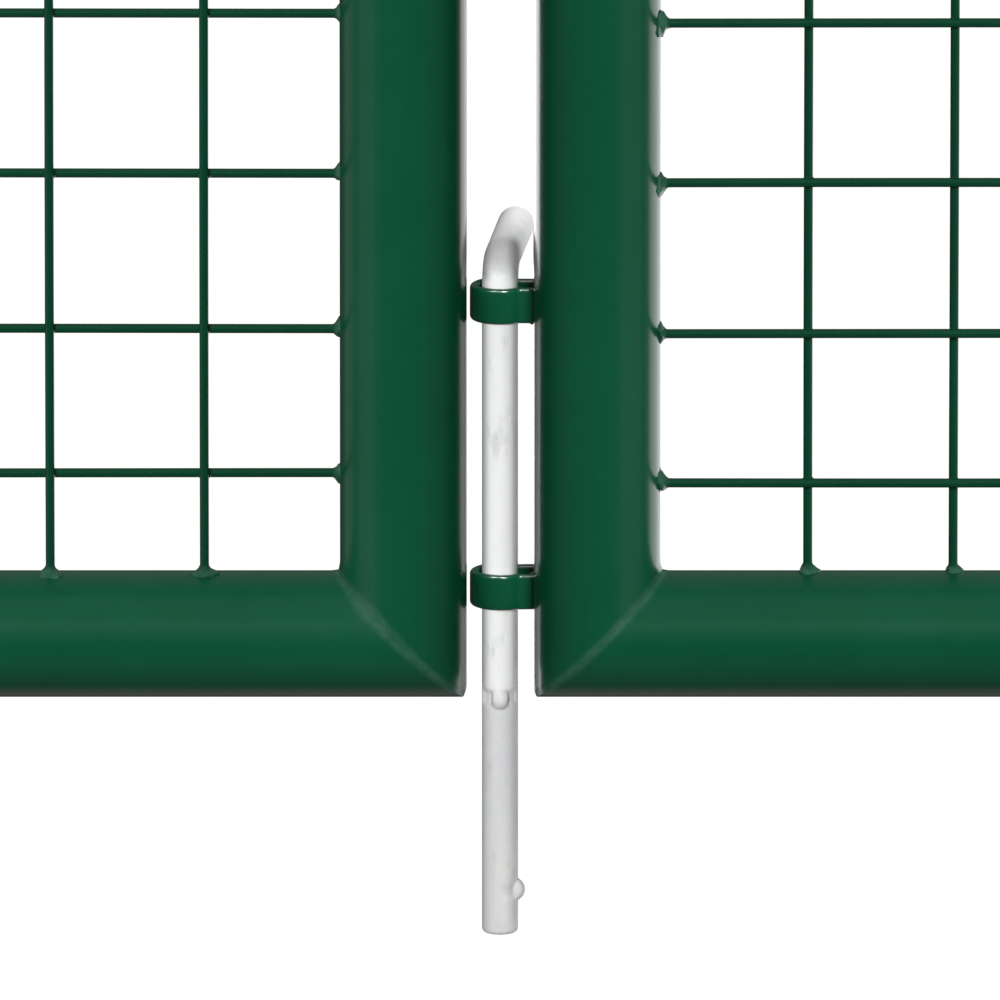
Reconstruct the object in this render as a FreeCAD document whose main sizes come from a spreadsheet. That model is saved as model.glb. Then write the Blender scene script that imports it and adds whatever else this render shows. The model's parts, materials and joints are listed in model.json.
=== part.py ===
import FreeCAD, Part
import Sketcher
import os
import re
from FreeCAD import Placement, Rotation, Vector

# A double-leaf welded-mesh livestock gate, closed. Millimetres, +Z up, +X along the gate, +Y the way
# both leaves open. The origin is on the ground, midway between the posts and in the leaves' mid-plane.

doc = FreeCAD.newDocument("livestock_panel_gate")

# Driving dimensions. Every alias is two or more words.
SIZES = {
    # Leaf frames: round tube, mitred at the corners
    "leaf_width": 1360,
    "leaf_height": 1000,
    "leaf_gap": 22,
    "ground_gap": 88,
    "tube_diameter": 42,
    "tube_wall": 2,
    "corner_round": 4,
    "weld_gap": 0.02,
    # Mesh: wires welded by hand, so the first bays differ from the pitch
    "wire_diameter": 3,
    "mesh_pitch": 50,
    "mesh_margin": 30,
    "left_upright_first": 97.8,
    "left_upright_second": 148.9,
    "right_upright_first": 102.0,
    "right_upright_second": 150.2,
    "left_level_first": 54.5,
    "left_level_second": 103.7,
    "left_level_third": 156.6,
    "left_level_fourth": 210.9,
    "right_level_first": 51.9,
    "right_level_second": 102.7,
    "right_level_third": 154.0,
    "right_level_fourth": 208.2,
    # Drop bolt: a bent bar with two pressed stop lugs
    "rod_diameter": 12,
    "rod_offset": 10.3,
    "rod_reach": 104.7,
    "rod_chamfer": 1.5,
    "rod_bend": 9,
    "handle_length": 57,
    "handle_yaw": 5.5,
    "elbow_gap": 0.3,
    "lug_radius": 4,
    "lug_thickness": 4,
    "lug_reach": 8.4,
    "upper_lug_drop": 23.5,
    "lower_lug_drop": 90,
    "lower_lug_turn": 80,
    "press_depth": 0.8,
    # Strap guides on the right meeting stile, heights above the bottom rail's axis
    "guide_height": 12,
    "guide_strap": 3,
    "guide_clearance": 1,
    "lower_guide_rise": 13.4,
    "upper_guide_rise": 110.9,
    # Posts
    "post_diameter": 60,
    "post_wall": 2,
    "post_height": 1150,
    "post_gap": 50,
    "plate_side": 160,
    "plate_thickness": 8,
    "plate_round": 12,
    "anchor_spacing": 120,
    "anchor_hole": 13,
    "cap_thickness": 5,
    "cap_round": 3,
    "cap_skirt": 15,
    "cap_clearance": 0.1,
    "cap_wall": 2,
    # Hinges: eyebolts through the posts, pins welded to the leaves
    "pivot_offset": 17,
    "hinge_inset": 120,
    "pin_diameter": 16,
    "pin_clearance": 0.05,
    "pin_overhang": 8,
    "pin_chamfer": 2,
    "eye_diameter": 30,
    "eye_height": 20,
    "hinge_play": 0.2,
    "bracket_width": 24,
    "bracket_height": 12,
    "shank_clearance": 0.5,
    "thread_clearance": 0.05,
    "shank_overhang": 4,
    "nut_width": 24,
    "nut_thickness": 13,
    "saddle_thickness": 4,
    "saddle_diameter": 30,
    # Lock case and plates, on the mesh side of the left meeting stile
    "lock_rise": 560,
    "case_width": 60,
    "case_height": 160,
    "case_depth": 36,
    "case_wall": 2,
    "lock_backset": 30,
    "spindle_rise": 20,
    "plug_spacing": 72,
    "plate_width": 40,
    "plate_length": 152,
    "plate_depth": 3,
    "plate_soft": 3,
    "screw_diameter": 5,
    "screw_head": 9,
    "screw_head_height": 2.5,
    "upper_screw_rise": 66,
    "lower_screw_drop": 5,
    "fit_clearance": 0.5,
    # Levers and follower
    "lever_radius": 9,
    "lever_play": 0.2,
    "lever_stem": 20,
    "lever_bend": 12,
    "lever_arm": 115,
    "lever_chamfer": 2,
    "spindle_side": 8,
    "spindle_clearance": 0.1,
    "spindle_grip": 20,
    "hub_radius": 9,
    "hub_depth": 16,
    "hub_arm": 20,
    "hub_arm_width": 4,
    "hub_arm_depth": 8,
    # Latch bolt
    "latch_rise": 21,
    "latch_height": 20,
    "latch_depth": 12,
    "latch_nose": 8,
    "latch_bevel": 9,
    "latch_tail": 8,
    "latch_pocket_height": 10.5,
    "latch_pull_gap": 0.9,
    "latch_free_gap": 5,
    "spring_radius": 4,
    "spring_wire": 1,
    "spring_turns": 4,
    "spring_gap": 0.1,
    # Dead bolt
    "bolt_height": 20,
    "bolt_depth": 10,
    "bolt_nose": 13,
    "bolt_tail": 17,
    "cam_gap": 0.4,
    # Lock cylinder, plug, cam and key
    "cylinder_radius": 8.5,
    "cylinder_leg": 24.5,
    "cylinder_leg_width": 10,
    "cylinder_length": 60,
    "plug_radius": 6.5,
    "plug_clearance": 0.05,
    "cam_reach": 14.6,
    "cam_width": 9.6,
    "cam_slot": 10.4,
    "cam_rim": 8.4,
    "cam_bit": 4,
    "key_blade_width": 8,
    "key_blade_thickness": 2.4,
    "key_blade_length": 25,
    "key_clearance": 0.1,
    "key_neck": 5,
    "key_bow_radius": 12,
    "key_hole_radius": 3,
    # Keep, a channel on the right meeting stile
    "keep_length": 150,
    "keep_width": 28,
    "keep_wall": 3,
    "keep_slot_depth": 9,
    "keep_reach": 10,
    "keep_slot_clearance": 0.8,
}

# Places worked out from the driving dimensions
PLACES = {
    "tube_radius": "tube_diameter / 2",
    "meeting_face": "leaf_gap / 2",
    "meeting_axis": "meeting_face + tube_radius",
    "meeting_back": "meeting_face + tube_diameter",
    "leaf_end": "meeting_face + leaf_width",
    "hinge_axis": "leaf_end - tube_radius",
    "rail_low": "ground_gap + tube_radius",
    "leaf_top": "ground_gap + leaf_height",
    "rail_high": "leaf_top - tube_radius",
    "pivot_x": "leaf_end + pivot_offset",
    "post_x": "leaf_end + post_gap + post_diameter / 2",
    "lower_eye": "ground_gap + hinge_inset",
    "upper_eye": "leaf_top - hinge_inset",
    "guide_inner": "rod_diameter / 2 + guide_clearance",
    "guide_outer": "guide_inner + guide_strap",
    "upper_guide_top": "rail_low + upper_guide_rise + guide_height / 2",
    # The elbow's inner curve rests on the inner top edge of the upper guide's far band.
    "elbow_inner": "rod_bend - rod_diameter / 2",
    "elbow_drop": "sqrt(elbow_inner^2 - (elbow_inner - guide_clearance)^2)",
    "elbow_start": "upper_guide_top + elbow_gap - elbow_drop",
    "rod_tip": "rail_low - rod_reach",
    "lock_z": "ground_gap + lock_rise",
    "spindle_z": "lock_z + spindle_rise",
    "plug_z": "spindle_z - plug_spacing",
    "latch_z": "spindle_z + latch_rise",
    "bolt_z": "plug_z + cam_reach + cam_gap + bolt_height / 2",
    "case_left": "-meeting_back - case_width",
    "lock_x": "-meeting_back - lock_backset",
    "latch_back": "lock_x - hub_arm_width / 2 - latch_pull_gap - latch_tail",
    "case_face": "case_depth / 2",
    "plate_face": "case_face + plate_depth",
}

SHEET_OF = {}


def cells(expression):
    """The expression with each alias led by its sheet's name."""
    return re.sub(r"[a-z]+(_[a-z]+)+", lambda word: SHEET_OF[word.group()] + word.group(), expression)


sizes = doc.addObject("Spreadsheet::Sheet", "Sizes")
for row, (alias, value) in enumerate(SIZES.items(), start=1):
    sizes.set(f"A{row}", alias.replace("_", " "))
    sizes.set(f"B{row}", str(value))
    sizes.setAlias(f"B{row}", alias)
    SHEET_OF[alias] = "Sizes."

places = doc.addObject("Spreadsheet::Sheet", "Places")
for row, (alias, formula) in enumerate(PLACES.items(), start=1):
    places.set(f"A{row}", alias.replace("_", " "))
    places.set(f"B{row}", "=" + cells(formula))
    places.setAlias(f"B{row}", alias)
    SHEET_OF[alias] = ""
SHEET_OF.update((alias, "Places.") for alias in PLACES)
doc.recompute()


def number(alias):
    """The present value of one cell, in millimetres or degrees."""
    return float((sizes if alias in SIZES else places).get(alias))


X_AXIS, Y_AXIS, Z_AXIS = Vector(1, 0, 0), Vector(0, 1, 0), Vector(0, 0, 1)
UPRIGHT = Rotation()
ALONG_X = Rotation(Z_AXIS, X_AXIS)
ALONG_Y = Rotation(Z_AXIS, Y_AXIS)
HALF_TURN = Rotation(Z_AXIS, 180)
UPSIDE_DOWN = Rotation(X_AXIS, 180)
LEFT, RIGHT = -1, 1
ORIGIN = ("0", "0", "0")


def axes(y_axis, z_axis):
    """The rotation that takes Y and Z to these two directions."""
    return Rotation(y_axis.cross(z_axis), y_axis, z_axis, "ZYX")


def place(item, at, turn=UPRIGHT):
    """Turns the item, then moves its origin to the three expressions."""
    item.Placement = Placement(Vector(), turn)
    for axis, expression in zip("xyz", at):
        item.setExpression(f"Placement.Base.{axis}", cells(expression))
    return item


def add(kind, name, at, turn, **bound):
    item = doc.addObject(kind, name)
    for prop, expression in bound.items():
        item.setExpression(prop, cells(expression))
    return place(item, at, turn)


def cylinder(name, radius, height, at=ORIGIN, turn=UPRIGHT):
    return add("Part::Cylinder", name, at, turn, Radius=radius, Height=height)


def cone(name, radius, end_radius, height, at=ORIGIN, turn=UPRIGHT):
    return add("Part::Cone", name, at, turn, Radius1=radius, Radius2=end_radius, Height=height)


def box(name, size, at, turn=UPRIGHT):
    return add("Part::Box", name, at, turn, Length=size[0], Width=size[1], Height=size[2])


def centred_box(name, size, at):
    corner = [f"({middle}) - ({side}) / 2" for middle, side in zip(at, size)]
    return box(name, size, corner)


def fuse(name, *items):
    whole = doc.addObject("Part::MultiFuse", name)
    whole.Shapes = items
    whole.Refine = True
    return whole


def common(name, *items):
    shared = doc.addObject("Part::MultiCommon", name)
    shared.Shapes = items
    return shared


def cut(name, base, *tools):
    """The base with each tool cut from it in turn; the last result carries the name."""
    for count, tool in enumerate(tools, start=1):
        last = count == len(tools)
        rest = doc.addObject("Part::Cut", name if last else f"{name}_cut_{count}")
        rest.Base = base
        rest.Tool = tool
        base = rest
    return base


def group(name, *items):
    """Several separate solids kept as one node."""
    whole = doc.addObject("Part::Compound", name)
    whole.Links = items
    return whole


def edges_where(item, keep):
    return [n for n, edge in enumerate(item.Shape.Edges, start=1) if keep(edge)]


def rounded(name, base, radius, keep):
    """The base with the chosen edges rounded to the radius in the sheet."""
    doc.recompute()
    soft = doc.addObject("Part::Fillet", name)
    soft.Base = base
    soft.Edges = [(n, number(radius), number(radius)) for n in edges_where(base, keep)]
    return soft


pieces = []


def piece(item):
    pieces.append(item)
    return item


# ---------------------------------------------------------------- leaf frames


def mitred_tube(name, length, at, turn, slots=()):
    """A frame tube along Z with its outer face at Y = 0 and both ends mitred at 45 degrees."""
    centre = ("0", "tube_radius", "0")
    outside = cylinder(name + "_outside", "tube_radius", length, centre)
    bore = cylinder(name + "_bore", "tube_radius - tube_wall", length, centre)
    tube = cut(name + "_tube", outside, bore)
    mitre = add(
        "Part::Wedge", name + "_mitre", ORIGIN, UPRIGHT,
        Xmin="-tube_radius", Xmax="tube_radius", X2min="-tube_radius", X2max="tube_radius",
        Ymin="0", Ymax="tube_diameter",
        Zmin="0", Zmax=length, Z2min="tube_diameter", Z2max=f"{length} - tube_diameter",
    )
    block = box(name + "_block", ("tube_diameter", "tube_diameter", length), ("-tube_radius", "0", "0"))
    soft = rounded(
        name + "_soft", block, "corner_round",
        lambda edge: abs(edge.tangentAt(edge.FirstParameter).x) > 0.99 and edge.CenterOfMass.y < 1e-6,
    )
    blank = common(name if not slots else name + "_blank", tube, mitre, soft)
    place(blank, at, turn)
    return piece(cut(name, blank, *slots) if slots else blank)


def leaf_frame(side, word, meeting_slots=()):
    toward_hinge = Vector(side, 0, 0)
    toward_middle = Vector(-side, 0, 0)
    near, far = f"{side} * meeting_face", f"{side} * leaf_end"
    mitred_tube(
        word + "_meeting_stile", "leaf_height", (near, "0", "ground_gap"),
        axes(toward_hinge, Z_AXIS), meeting_slots,
    )
    mitred_tube(word + "_hinge_stile", "leaf_height", (far, "0", "ground_gap"), axes(toward_middle, Z_AXIS))
    mitred_tube(word + "_bottom_rail", "leaf_width", (near, "0", "ground_gap"), axes(Z_AXIS, toward_hinge))
    mitred_tube(
        word + "_top_rail", "leaf_width", (near, "0", "leaf_top"),
        axes(-Z_AXIS, toward_hinge),
    )


def stile_cylinder(name, x, at_z, height):
    """A meeting or hinge stile's outside, to cope what is welded to it."""
    return cylinder(name, "tube_radius + weld_gap", height, (x, "0", at_z))


# ---------------------------------------------------------------- mesh


def mesh_places(fixed, limit):
    """The wire places as (expression, millimetres): the hand-set ones, then one every pitch."""
    pitch, last = number("mesh_pitch"), number(fixed[-1])
    bays = int((limit - number("mesh_margin") - last) // pitch)
    later = [(f"{fixed[-1]} + {bay} * mesh_pitch", last + bay * pitch) for bay in range(1, bays + 1)]
    return [(alias, number(alias)) for alias in fixed] + later


def mesh(side, word, uprights_in_front, beside_lock):
    """A leaf's wires, in two layers that touch, one before the mid-plane and one behind it."""
    layer = "(wire_diameter / 2 + weld_gap)"
    upright_y, level_y = ("-" + layer, layer) if uprights_in_front else (layer, "-" + layer)
    radius, spare = "wire_diameter / 2", number("wire_diameter")
    low, high = "rail_low + tube_radius", "rail_high - tube_radius"
    case_low, case_high = "lock_z - case_height / 2", "lock_z + case_height / 2"

    uprights = []
    first_two = [word + "_upright_first", word + "_upright_second"]
    for count, (distance, reach) in enumerate(mesh_places(first_two, number("hinge_axis"))):
        name, x = f"{word}_upright_{count}", f"{side} * ({distance})"
        spans = [(low, high)]
        if beside_lock and reach < spare - number("case_left"):
            spans = [(low, case_low), (case_high, high)]
        for span, (start, end) in enumerate(spans):
            length = f"{end} - ({start})"
            uprights.append(cylinder(f"{name}_{span}", radius, length, (x, upright_y, start)))

    levels = []
    first_four = [f"{word}_level_{order}" for order in ("first", "second", "third", "fourth")]
    rail_spacing = number("rail_high") - number("rail_low")
    for count, (rise, height) in enumerate(mesh_places(first_four, rail_spacing)):
        off_lock = abs(number("rail_low") + height - number("lock_z")) - number("case_height") / 2
        near = "-case_left" if beside_lock and off_lock < spare else "meeting_back"
        far = "leaf_end - tube_diameter"
        start = near if side == RIGHT else f"-({far})"
        levels.append(
            cylinder(
                f"{word}_level_{count}", radius, f"{far} - ({near})",
                (start, level_y, f"rail_low + {rise}"), ALONG_X,
            )
        )
    piece(group(word + "_upright_wires", *uprights))
    piece(group(word + "_level_wires", *levels))


# ---------------------------------------------------------------- bent bars and the drop bolt


def bent_bar(name, radius, stem, bend, arm, chamfer):
    """A round bar up Z that bends towards +Y. The arm is measured from the stem's axis to its end."""
    arm_z, reach = f"{stem} + {bend}", f"{arm} - {bend} - {chamfer}"
    turn = Rotation(-Y_AXIS, Z_AXIS, (-Y_AXIS).cross(Z_AXIS), "XYZ")
    elbow = add(
        "Part::Torus", name + "_elbow", ("0", bend, stem), turn,
        Radius1=bend, Radius2=radius, Angle3="90",
    )
    return [
        cylinder(name + "_stem", radius, stem),
        elbow,
        cylinder(name + "_arm", radius, reach, ("0", bend, arm_z), ALONG_Y),
        cone(
            name + "_arm_end", radius, f"{radius} - {chamfer}", chamfer,
            ("0", f"{arm} - {chamfer}", arm_z), ALONG_Y,
        ),
    ]


def stop_lug(name, height, turn):
    """A lug pressed out of the rod towards +X of its own frame, and the two dents of the press."""
    lug = cylinder(
        name + "_disc", "lug_radius", "lug_thickness",
        ("lug_reach - lug_radius", "-lug_thickness / 2", "0"), ALONG_Y,
    )
    dents = [
        centred_box(
            f"{name}_dent_{word}",
            ("rod_diameter", "rod_diameter / 2", "2 * lug_radius"),
            ("0", f"{sign} * (3 * rod_diameter / 4 - press_depth)", "0"),
        )
        for word, sign in (("near", -1), ("far", 1))
    ]
    dent = group(name + "_dents", *dents)
    for item in (lug, dent):
        holder = group(item.Name + "_placed", item)
        holder.Placement = Placement(Vector(), Rotation(Z_AXIS, 1))
        holder.setExpression("Placement.Base.z", cells(height))
        holder.setExpression("Placement.Rotation.Angle", cells(turn))
        yield holder


def drop_bolt():
    """Built with its tip at Z = 0 and its arm along +Y, then yawed."""
    stem = "elbow_start - rod_tip"
    bar = bent_bar("rod", "rod_diameter / 2", stem, "rod_bend", "handle_length", "rod_chamfer")
    tip_cut = cut(
        "rod_tip_cut",
        cylinder("rod_tip_block", "rod_diameter", "rod_chamfer"),
        cone("rod_tip_cone", "rod_diameter / 2 - rod_chamfer", "rod_diameter / 2", "rod_chamfer"),
    )
    upper_lug, upper_dents = stop_lug("upper_lug", "rod_reach - upper_lug_drop", "handle_yaw - 90 + 360")
    lower_lug, lower_dents = stop_lug(
        "lower_lug", "rod_reach - lower_lug_drop", "handle_yaw - 90 + lower_lug_turn + 360"
    )
    pressed = cut("rod_pressed", fuse("rod_bar", *bar), tip_cut, upper_dents, lower_dents)
    rod = piece(fuse("drop_rod", pressed, upper_lug, lower_lug))
    rod.Placement = Placement(Vector(), Rotation(-Z_AXIS, 1))
    rod.setExpression("Placement.Base.y", cells("rod_offset"))
    rod.setExpression("Placement.Base.z", cells("rod_tip"))
    rod.setExpression("Placement.Rotation.Angle", cells("handle_yaw"))


def bolt_guide(name, rise):
    """A flat strap bent round the rod, its two legs coped and welded on the right meeting stile."""
    low, leg = "-guide_height / 2", "meeting_axis"
    outer = fuse(
        name + "_outer",
        cylinder(name + "_outer_round", "guide_outer", "guide_height", ("0", "0", low)),
        box(name + "_outer_legs", (leg, "2 * guide_outer", "guide_height"), ("0", "-guide_outer", low)),
    )
    inner = fuse(
        name + "_inner",
        cylinder(name + "_inner_round", "guide_inner", "guide_height", ("0", "0", low)),
        box(name + "_inner_legs", (leg, "2 * guide_inner", "guide_height"), ("0", "-guide_inner", low)),
    )
    stile = cylinder(
        name + "_stile", "tube_radius + weld_gap", "guide_height", ("meeting_axis", "-rod_offset", low)
    )
    guide = piece(cut(name, outer, inner, stile))
    place(guide, ("0", "rod_offset", f"rail_low + {rise}"))


# ---------------------------------------------------------------- posts and hinges


def base_plate(name, side):
    """A square plate with rounded corners and four anchor holes."""
    body = doc.addObject("PartDesign::Body", name)
    sketch = body.newObject("Sketcher::SketchObject", name + "_outline")
    floor = next(item for item in body.Origin.OriginFeatures if item.Role == "XY_Plane")
    sketch.AttachmentSupport = [(floor, "")]
    sketch.MapMode = "FlatFace"
    squares = []
    for half, construction in ((number("plate_side") / 2, False), (number("anchor_spacing") / 2, True)):
        corners = [Vector(sx * half, sy * half, 0) for sx, sy in ((-1, -1), (1, -1), (1, 1), (-1, 1))]
        first = len(sketch.Geometry)
        for start, end in zip(corners, corners[1:] + corners[:1]):
            sketch.addGeometry(Part.LineSegment(start, end), construction)
        for line in range(4):
            sketch.addConstraint(
                Sketcher.Constraint("Coincident", first + line, 2, first + (line + 1) % 4, 1)
            )
            sketch.addConstraint(Sketcher.Constraint(("Horizontal", "Vertical")[line % 2], first + line))
        sketch.addConstraint(Sketcher.Constraint("Symmetric", first, 1, first + 2, 1, -1, 1))
        squares.append((first, 2 * half, construction))
    for (first, side_length, construction), alias in zip(squares, ("plate_side", "anchor_spacing")):
        for line, kind in ((0, "DistanceX"), (1, "DistanceY")):
            index = sketch.addConstraint(Sketcher.Constraint(kind, first + line, 1, first + line, 2, side_length))
            sketch.setExpression(f"Constraints[{index}]", cells(alias))
    holes_first = squares[1][0]
    for corner in range(4):
        start = sketch.Geometry[holes_first + corner].StartPoint
        hole = sketch.addGeometry(Part.Circle(start, Z_AXIS, number("anchor_hole") / 2))
        sketch.addConstraint(Sketcher.Constraint("Coincident", hole, 3, holes_first + corner, 1))
        index = sketch.addConstraint(Sketcher.Constraint("Radius", hole, number("anchor_hole") / 2))
        sketch.setExpression(f"Constraints[{index}]", cells("anchor_hole / 2"))
    pad = body.newObject("PartDesign::Pad", name + "_pad")
    pad.Profile = sketch
    pad.setExpression("Length", cells("plate_thickness"))
    doc.recompute()
    half = number("plate_side") / 2 - 0.01
    corners = edges_where(
        pad, lambda edge: abs(edge.CenterOfMass.x) > half and abs(edge.CenterOfMass.y) > half
    )
    soft = body.newObject("PartDesign::Fillet", name + "_soft")
    soft.Base = (pad, [f"Edge{n}" for n in corners])
    soft.setExpression("Radius", cells("plate_round"))
    body.Tip = soft
    piece(place(body, (f"{side} * post_x", "0", "0")))


def post(name, side):
    """A round tube welded on its base plate, cross-drilled for the two hinge eyebolts."""
    at = (f"{side} * post_x", "0", "plate_thickness")
    length = "post_height - plate_thickness"
    holes = [
        cylinder(
            f"{name}_{word}_hole", "pin_diameter / 2 + shank_clearance", "2 * post_diameter",
            (f"{side} * post_x - post_diameter", "0", height), ALONG_X,
        )
        for word, height in (("lower", "lower_eye"), ("upper", "upper_eye"))
    ]
    outside = cylinder(name + "_outside", "post_diameter / 2", length, at)
    bore = cylinder(name + "_bore", "post_diameter / 2 - post_wall", length, at)
    piece(cut(name, outside, bore, *holes))


def post_cap(name, side):
    """A moulded cap with a rounded rim and a hollow skirt that plugs the post."""
    disc = cylinder(name + "_disc", "post_diameter / 2", "cap_thickness")
    soft = rounded(
        name + "_soft", disc, "cap_round",
        lambda edge: edge.CenterOfMass.z > number("cap_thickness") - 1e-6 and edge.isClosed(),
    )
    radius = "post_diameter / 2 - post_wall - cap_clearance"
    skirt = cut(
        name + "_skirt",
        cylinder(name + "_skirt_outside", radius, "cap_skirt", ("0", "0", "-cap_skirt")),
        cylinder(name + "_skirt_inside", f"{radius} - cap_wall", "cap_skirt", ("0", "0", "-cap_skirt")),
    )
    cap = piece(fuse(name, soft, skirt))
    place(cap, (f"{side} * post_x", "0", "post_height"))


def eyebolt(name, side, height):
    """Built with its eye on the Z axis and its shank along +X."""
    length = "post_gap - pivot_offset + post_diameter + saddle_thickness + nut_thickness + shank_overhang"
    whole = fuse(
        name + "_whole",
        cylinder(name + "_eye", "eye_diameter / 2", "eye_height", ("0", "0", "-eye_height / 2")),
        cylinder(name + "_shank", "pin_diameter / 2", length, ORIGIN, ALONG_X),
    )
    bore = cylinder(
        name + "_bore", "pin_diameter / 2 + pin_clearance", "eye_height", ("0", "0", "-eye_height / 2")
    )
    bolt = piece(cut(name, whole, bore))
    place(bolt, (f"{side} * pivot_x", "0", height), UPRIGHT if side == RIGHT else HALF_TURN)


def hinge_pin(name, side, height, turn):
    """A pin on a bracket coped to the hinge stile, hanging down from Z = 0, with the leaf towards -X."""
    bracket = fuse(
        name + "_bracket",
        box(
            name + "_arm", ("pivot_offset + tube_radius / 2", "bracket_width", "bracket_height"),
            ("-pivot_offset - tube_radius / 2", "-bracket_width / 2", "0"),
        ),
        cylinder(name + "_end", "bracket_width / 2", "bracket_height"),
        cylinder(
            name + "_shaft", "pin_diameter / 2", "eye_height + pin_overhang",
            ("0", "0", "-eye_height - pin_overhang"),
        ),
        cone(
            name + "_point", "pin_diameter / 2 - pin_chamfer", "pin_diameter / 2", "pin_chamfer",
            ("0", "0", "-eye_height - pin_overhang - pin_chamfer"),
        ),
    )
    stile = cylinder(
        name + "_stile", "tube_radius + weld_gap", "bracket_height",
        ("-pivot_offset - tube_radius", "0", "0"),
    )
    pin = piece(cut(name, bracket, stile))
    place(pin, (f"{side} * pivot_x", "0", height), turn)


def post_fasteners():
    """One nut and one saddle washer on each side of the post, for each eyebolt."""
    nuts, saddles = [], []
    for side, word in ((LEFT, "left"), (RIGHT, "right")):
        for level, height in (("lower", "lower_eye"), ("upper", "upper_eye")):
            for face, sign in (("near", -1), ("far", 1)):
                name = f"{word}_{level}_{face}"
                seat = "post_diameter / 2 + saddle_thickness"
                start = seat if sign * side > 0 else f"-({seat}) - nut_thickness"
                nut = add(
                    "Part::Prism", name + "_nut_blank", (f"{side} * post_x + {start}", "0", height),
                    ALONG_X, Circumradius="nut_width / sqrt(3)", Height="nut_thickness",
                )
                nut.Polygon = 6
                bore = cylinder(
                    name + "_nut_bore", "pin_diameter / 2 + thread_clearance", "nut_thickness",
                    (f"{side} * post_x + {start}", "0", height), ALONG_X,
                )
                nuts.append(cut(name + "_nut", nut, bore))
                inward = "0" if sign * side > 0 else f"-({seat})"
                blank = cylinder(
                    name + "_saddle_blank", "saddle_diameter / 2", seat,
                    (f"{side} * post_x + {inward}", "0", height), ALONG_X,
                )
                hole = cylinder(
                    name + "_saddle_hole", "pin_diameter / 2 + shank_clearance", seat,
                    (f"{side} * post_x + {inward}", "0", height), ALONG_X,
                )
                pipe = cylinder(
                    name + "_saddle_pipe", "post_diameter / 2 + weld_gap", "2 * saddle_diameter",
                    (f"{side} * post_x", "0", f"{height} - saddle_diameter"),
                )
                saddles.append(cut(name + "_saddle", blank, hole, pipe))
    piece(group("hinge_nuts", *nuts))
    piece(group("saddle_washers", *saddles))


# ---------------------------------------------------------------- lock


def cylinder_profile(name, clearance, depth, y):
    """A keyhole-shaped prism along Y, round above and with a rounded leg below."""
    leg = f"cylinder_leg_width / 2 + {clearance}"
    drop = "cylinder_leg - cylinder_leg_width / 2"
    return fuse(
        name,
        cylinder(name + "_round", f"cylinder_radius + {clearance}", depth, ("lock_x", y, "plug_z"), ALONG_Y),
        cylinder(name + "_foot", leg, depth, ("lock_x", y, f"plug_z - ({drop})"), ALONG_Y),
        box(name + "_leg", (f"2 * ({leg})", depth, drop), (f"lock_x - ({leg})", y, f"plug_z - ({drop})")),
    )


def screw_holes(name, y, depth):
    radius = "screw_diameter / 2 + pin_clearance"
    return [
        cylinder(f"{name}_{word}", radius, depth, ("lock_x", y, height), ALONG_Y)
        for word, height in (
            ("upper_hole", "lock_z + upper_screw_rise"), ("lower_hole", "lock_z - lower_screw_drop"),
        )
    ]


def lock_openings(name, y, depth, lever_hole):
    """What passes through a wall of the lock: lever, cylinder and two screws."""
    lever = cylinder(name + "_lever_hole", lever_hole, depth, ("lock_x", y, "spindle_z"), ALONG_Y)
    return [
        lever,
        cylinder_profile(name + "_cylinder_hole", "fit_clearance / 2", depth, y),
        *screw_holes(name, y, depth),
    ]


def case_stile(name):
    return stile_cylinder(name, "-meeting_axis", "lock_z - case_height", "2 * case_height")


def lock_case():
    """An open-fronted box coped to the left meeting stile, which closes its fourth side."""
    reach = "case_width + tube_radius / 2"
    low = "lock_z - case_height / 2"
    spindle_hole = "spindle_side / sqrt(2) + fit_clearance"
    outside = box(
        "lock_case_outside", (reach, "case_depth - case_wall", "case_height"),
        ("case_left", "-case_face + case_wall", low),
    )
    inside = box(
        "lock_case_inside",
        (f"{reach} - case_wall", "case_depth - 2 * case_wall", "case_height - 2 * case_wall"),
        ("case_left + case_wall", "-case_face + case_wall", f"{low} + case_wall"),
    )
    rear = lock_openings("lock_case", "case_face - case_wall", "case_wall", spindle_hole)
    piece(cut("lock_case", outside, inside, case_stile("lock_case_stile"), *rear))
    cover = box("lock_cover_blank", (reach, "case_wall", "case_height"), ("case_left", "-case_face", low))
    front = lock_openings("lock_cover", "-case_face", "case_wall", spindle_hole)
    piece(cut("lock_cover", cover, case_stile("lock_cover_stile"), *front))


def lock_plates():
    """The lever plates over the cover and the rear wall, and the screws that join them."""
    for name, y in (("front_lever_plate", "-plate_face"), ("rear_lever_plate", "case_face")):
        blank = box(
            name + "_blank", ("plate_width", "plate_depth", "plate_length"),
            ("lock_x - plate_width / 2", y, "lock_z - plate_length / 2"),
        )
        soft = rounded(
            name + "_soft", blank, "plate_soft",
            lambda edge: abs(edge.tangentAt(edge.FirstParameter).y) > 0.99,
        )
        hole = "lever_radius + fit_clearance"
        piece(cut(name, soft, *lock_openings(name, y, "plate_depth", hole)))
    screws = []
    for word, height in (
        ("upper", "lock_z + upper_screw_rise"), ("lower", "lock_z - lower_screw_drop"),
    ):
        shank = cylinder(
            f"{word}_screw_shank", "screw_diameter / 2", "2 * plate_face",
            ("lock_x", "-plate_face", height), ALONG_Y,
        )
        head = cylinder(
            f"{word}_screw_head", "screw_head / 2", "screw_head_height",
            ("lock_x", "-plate_face - screw_head_height", height), ALONG_Y,
        )
        screws.append(fuse(f"{word}_screw", shank, head))
    piece(group("lever_plate_screws", *screws))


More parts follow.
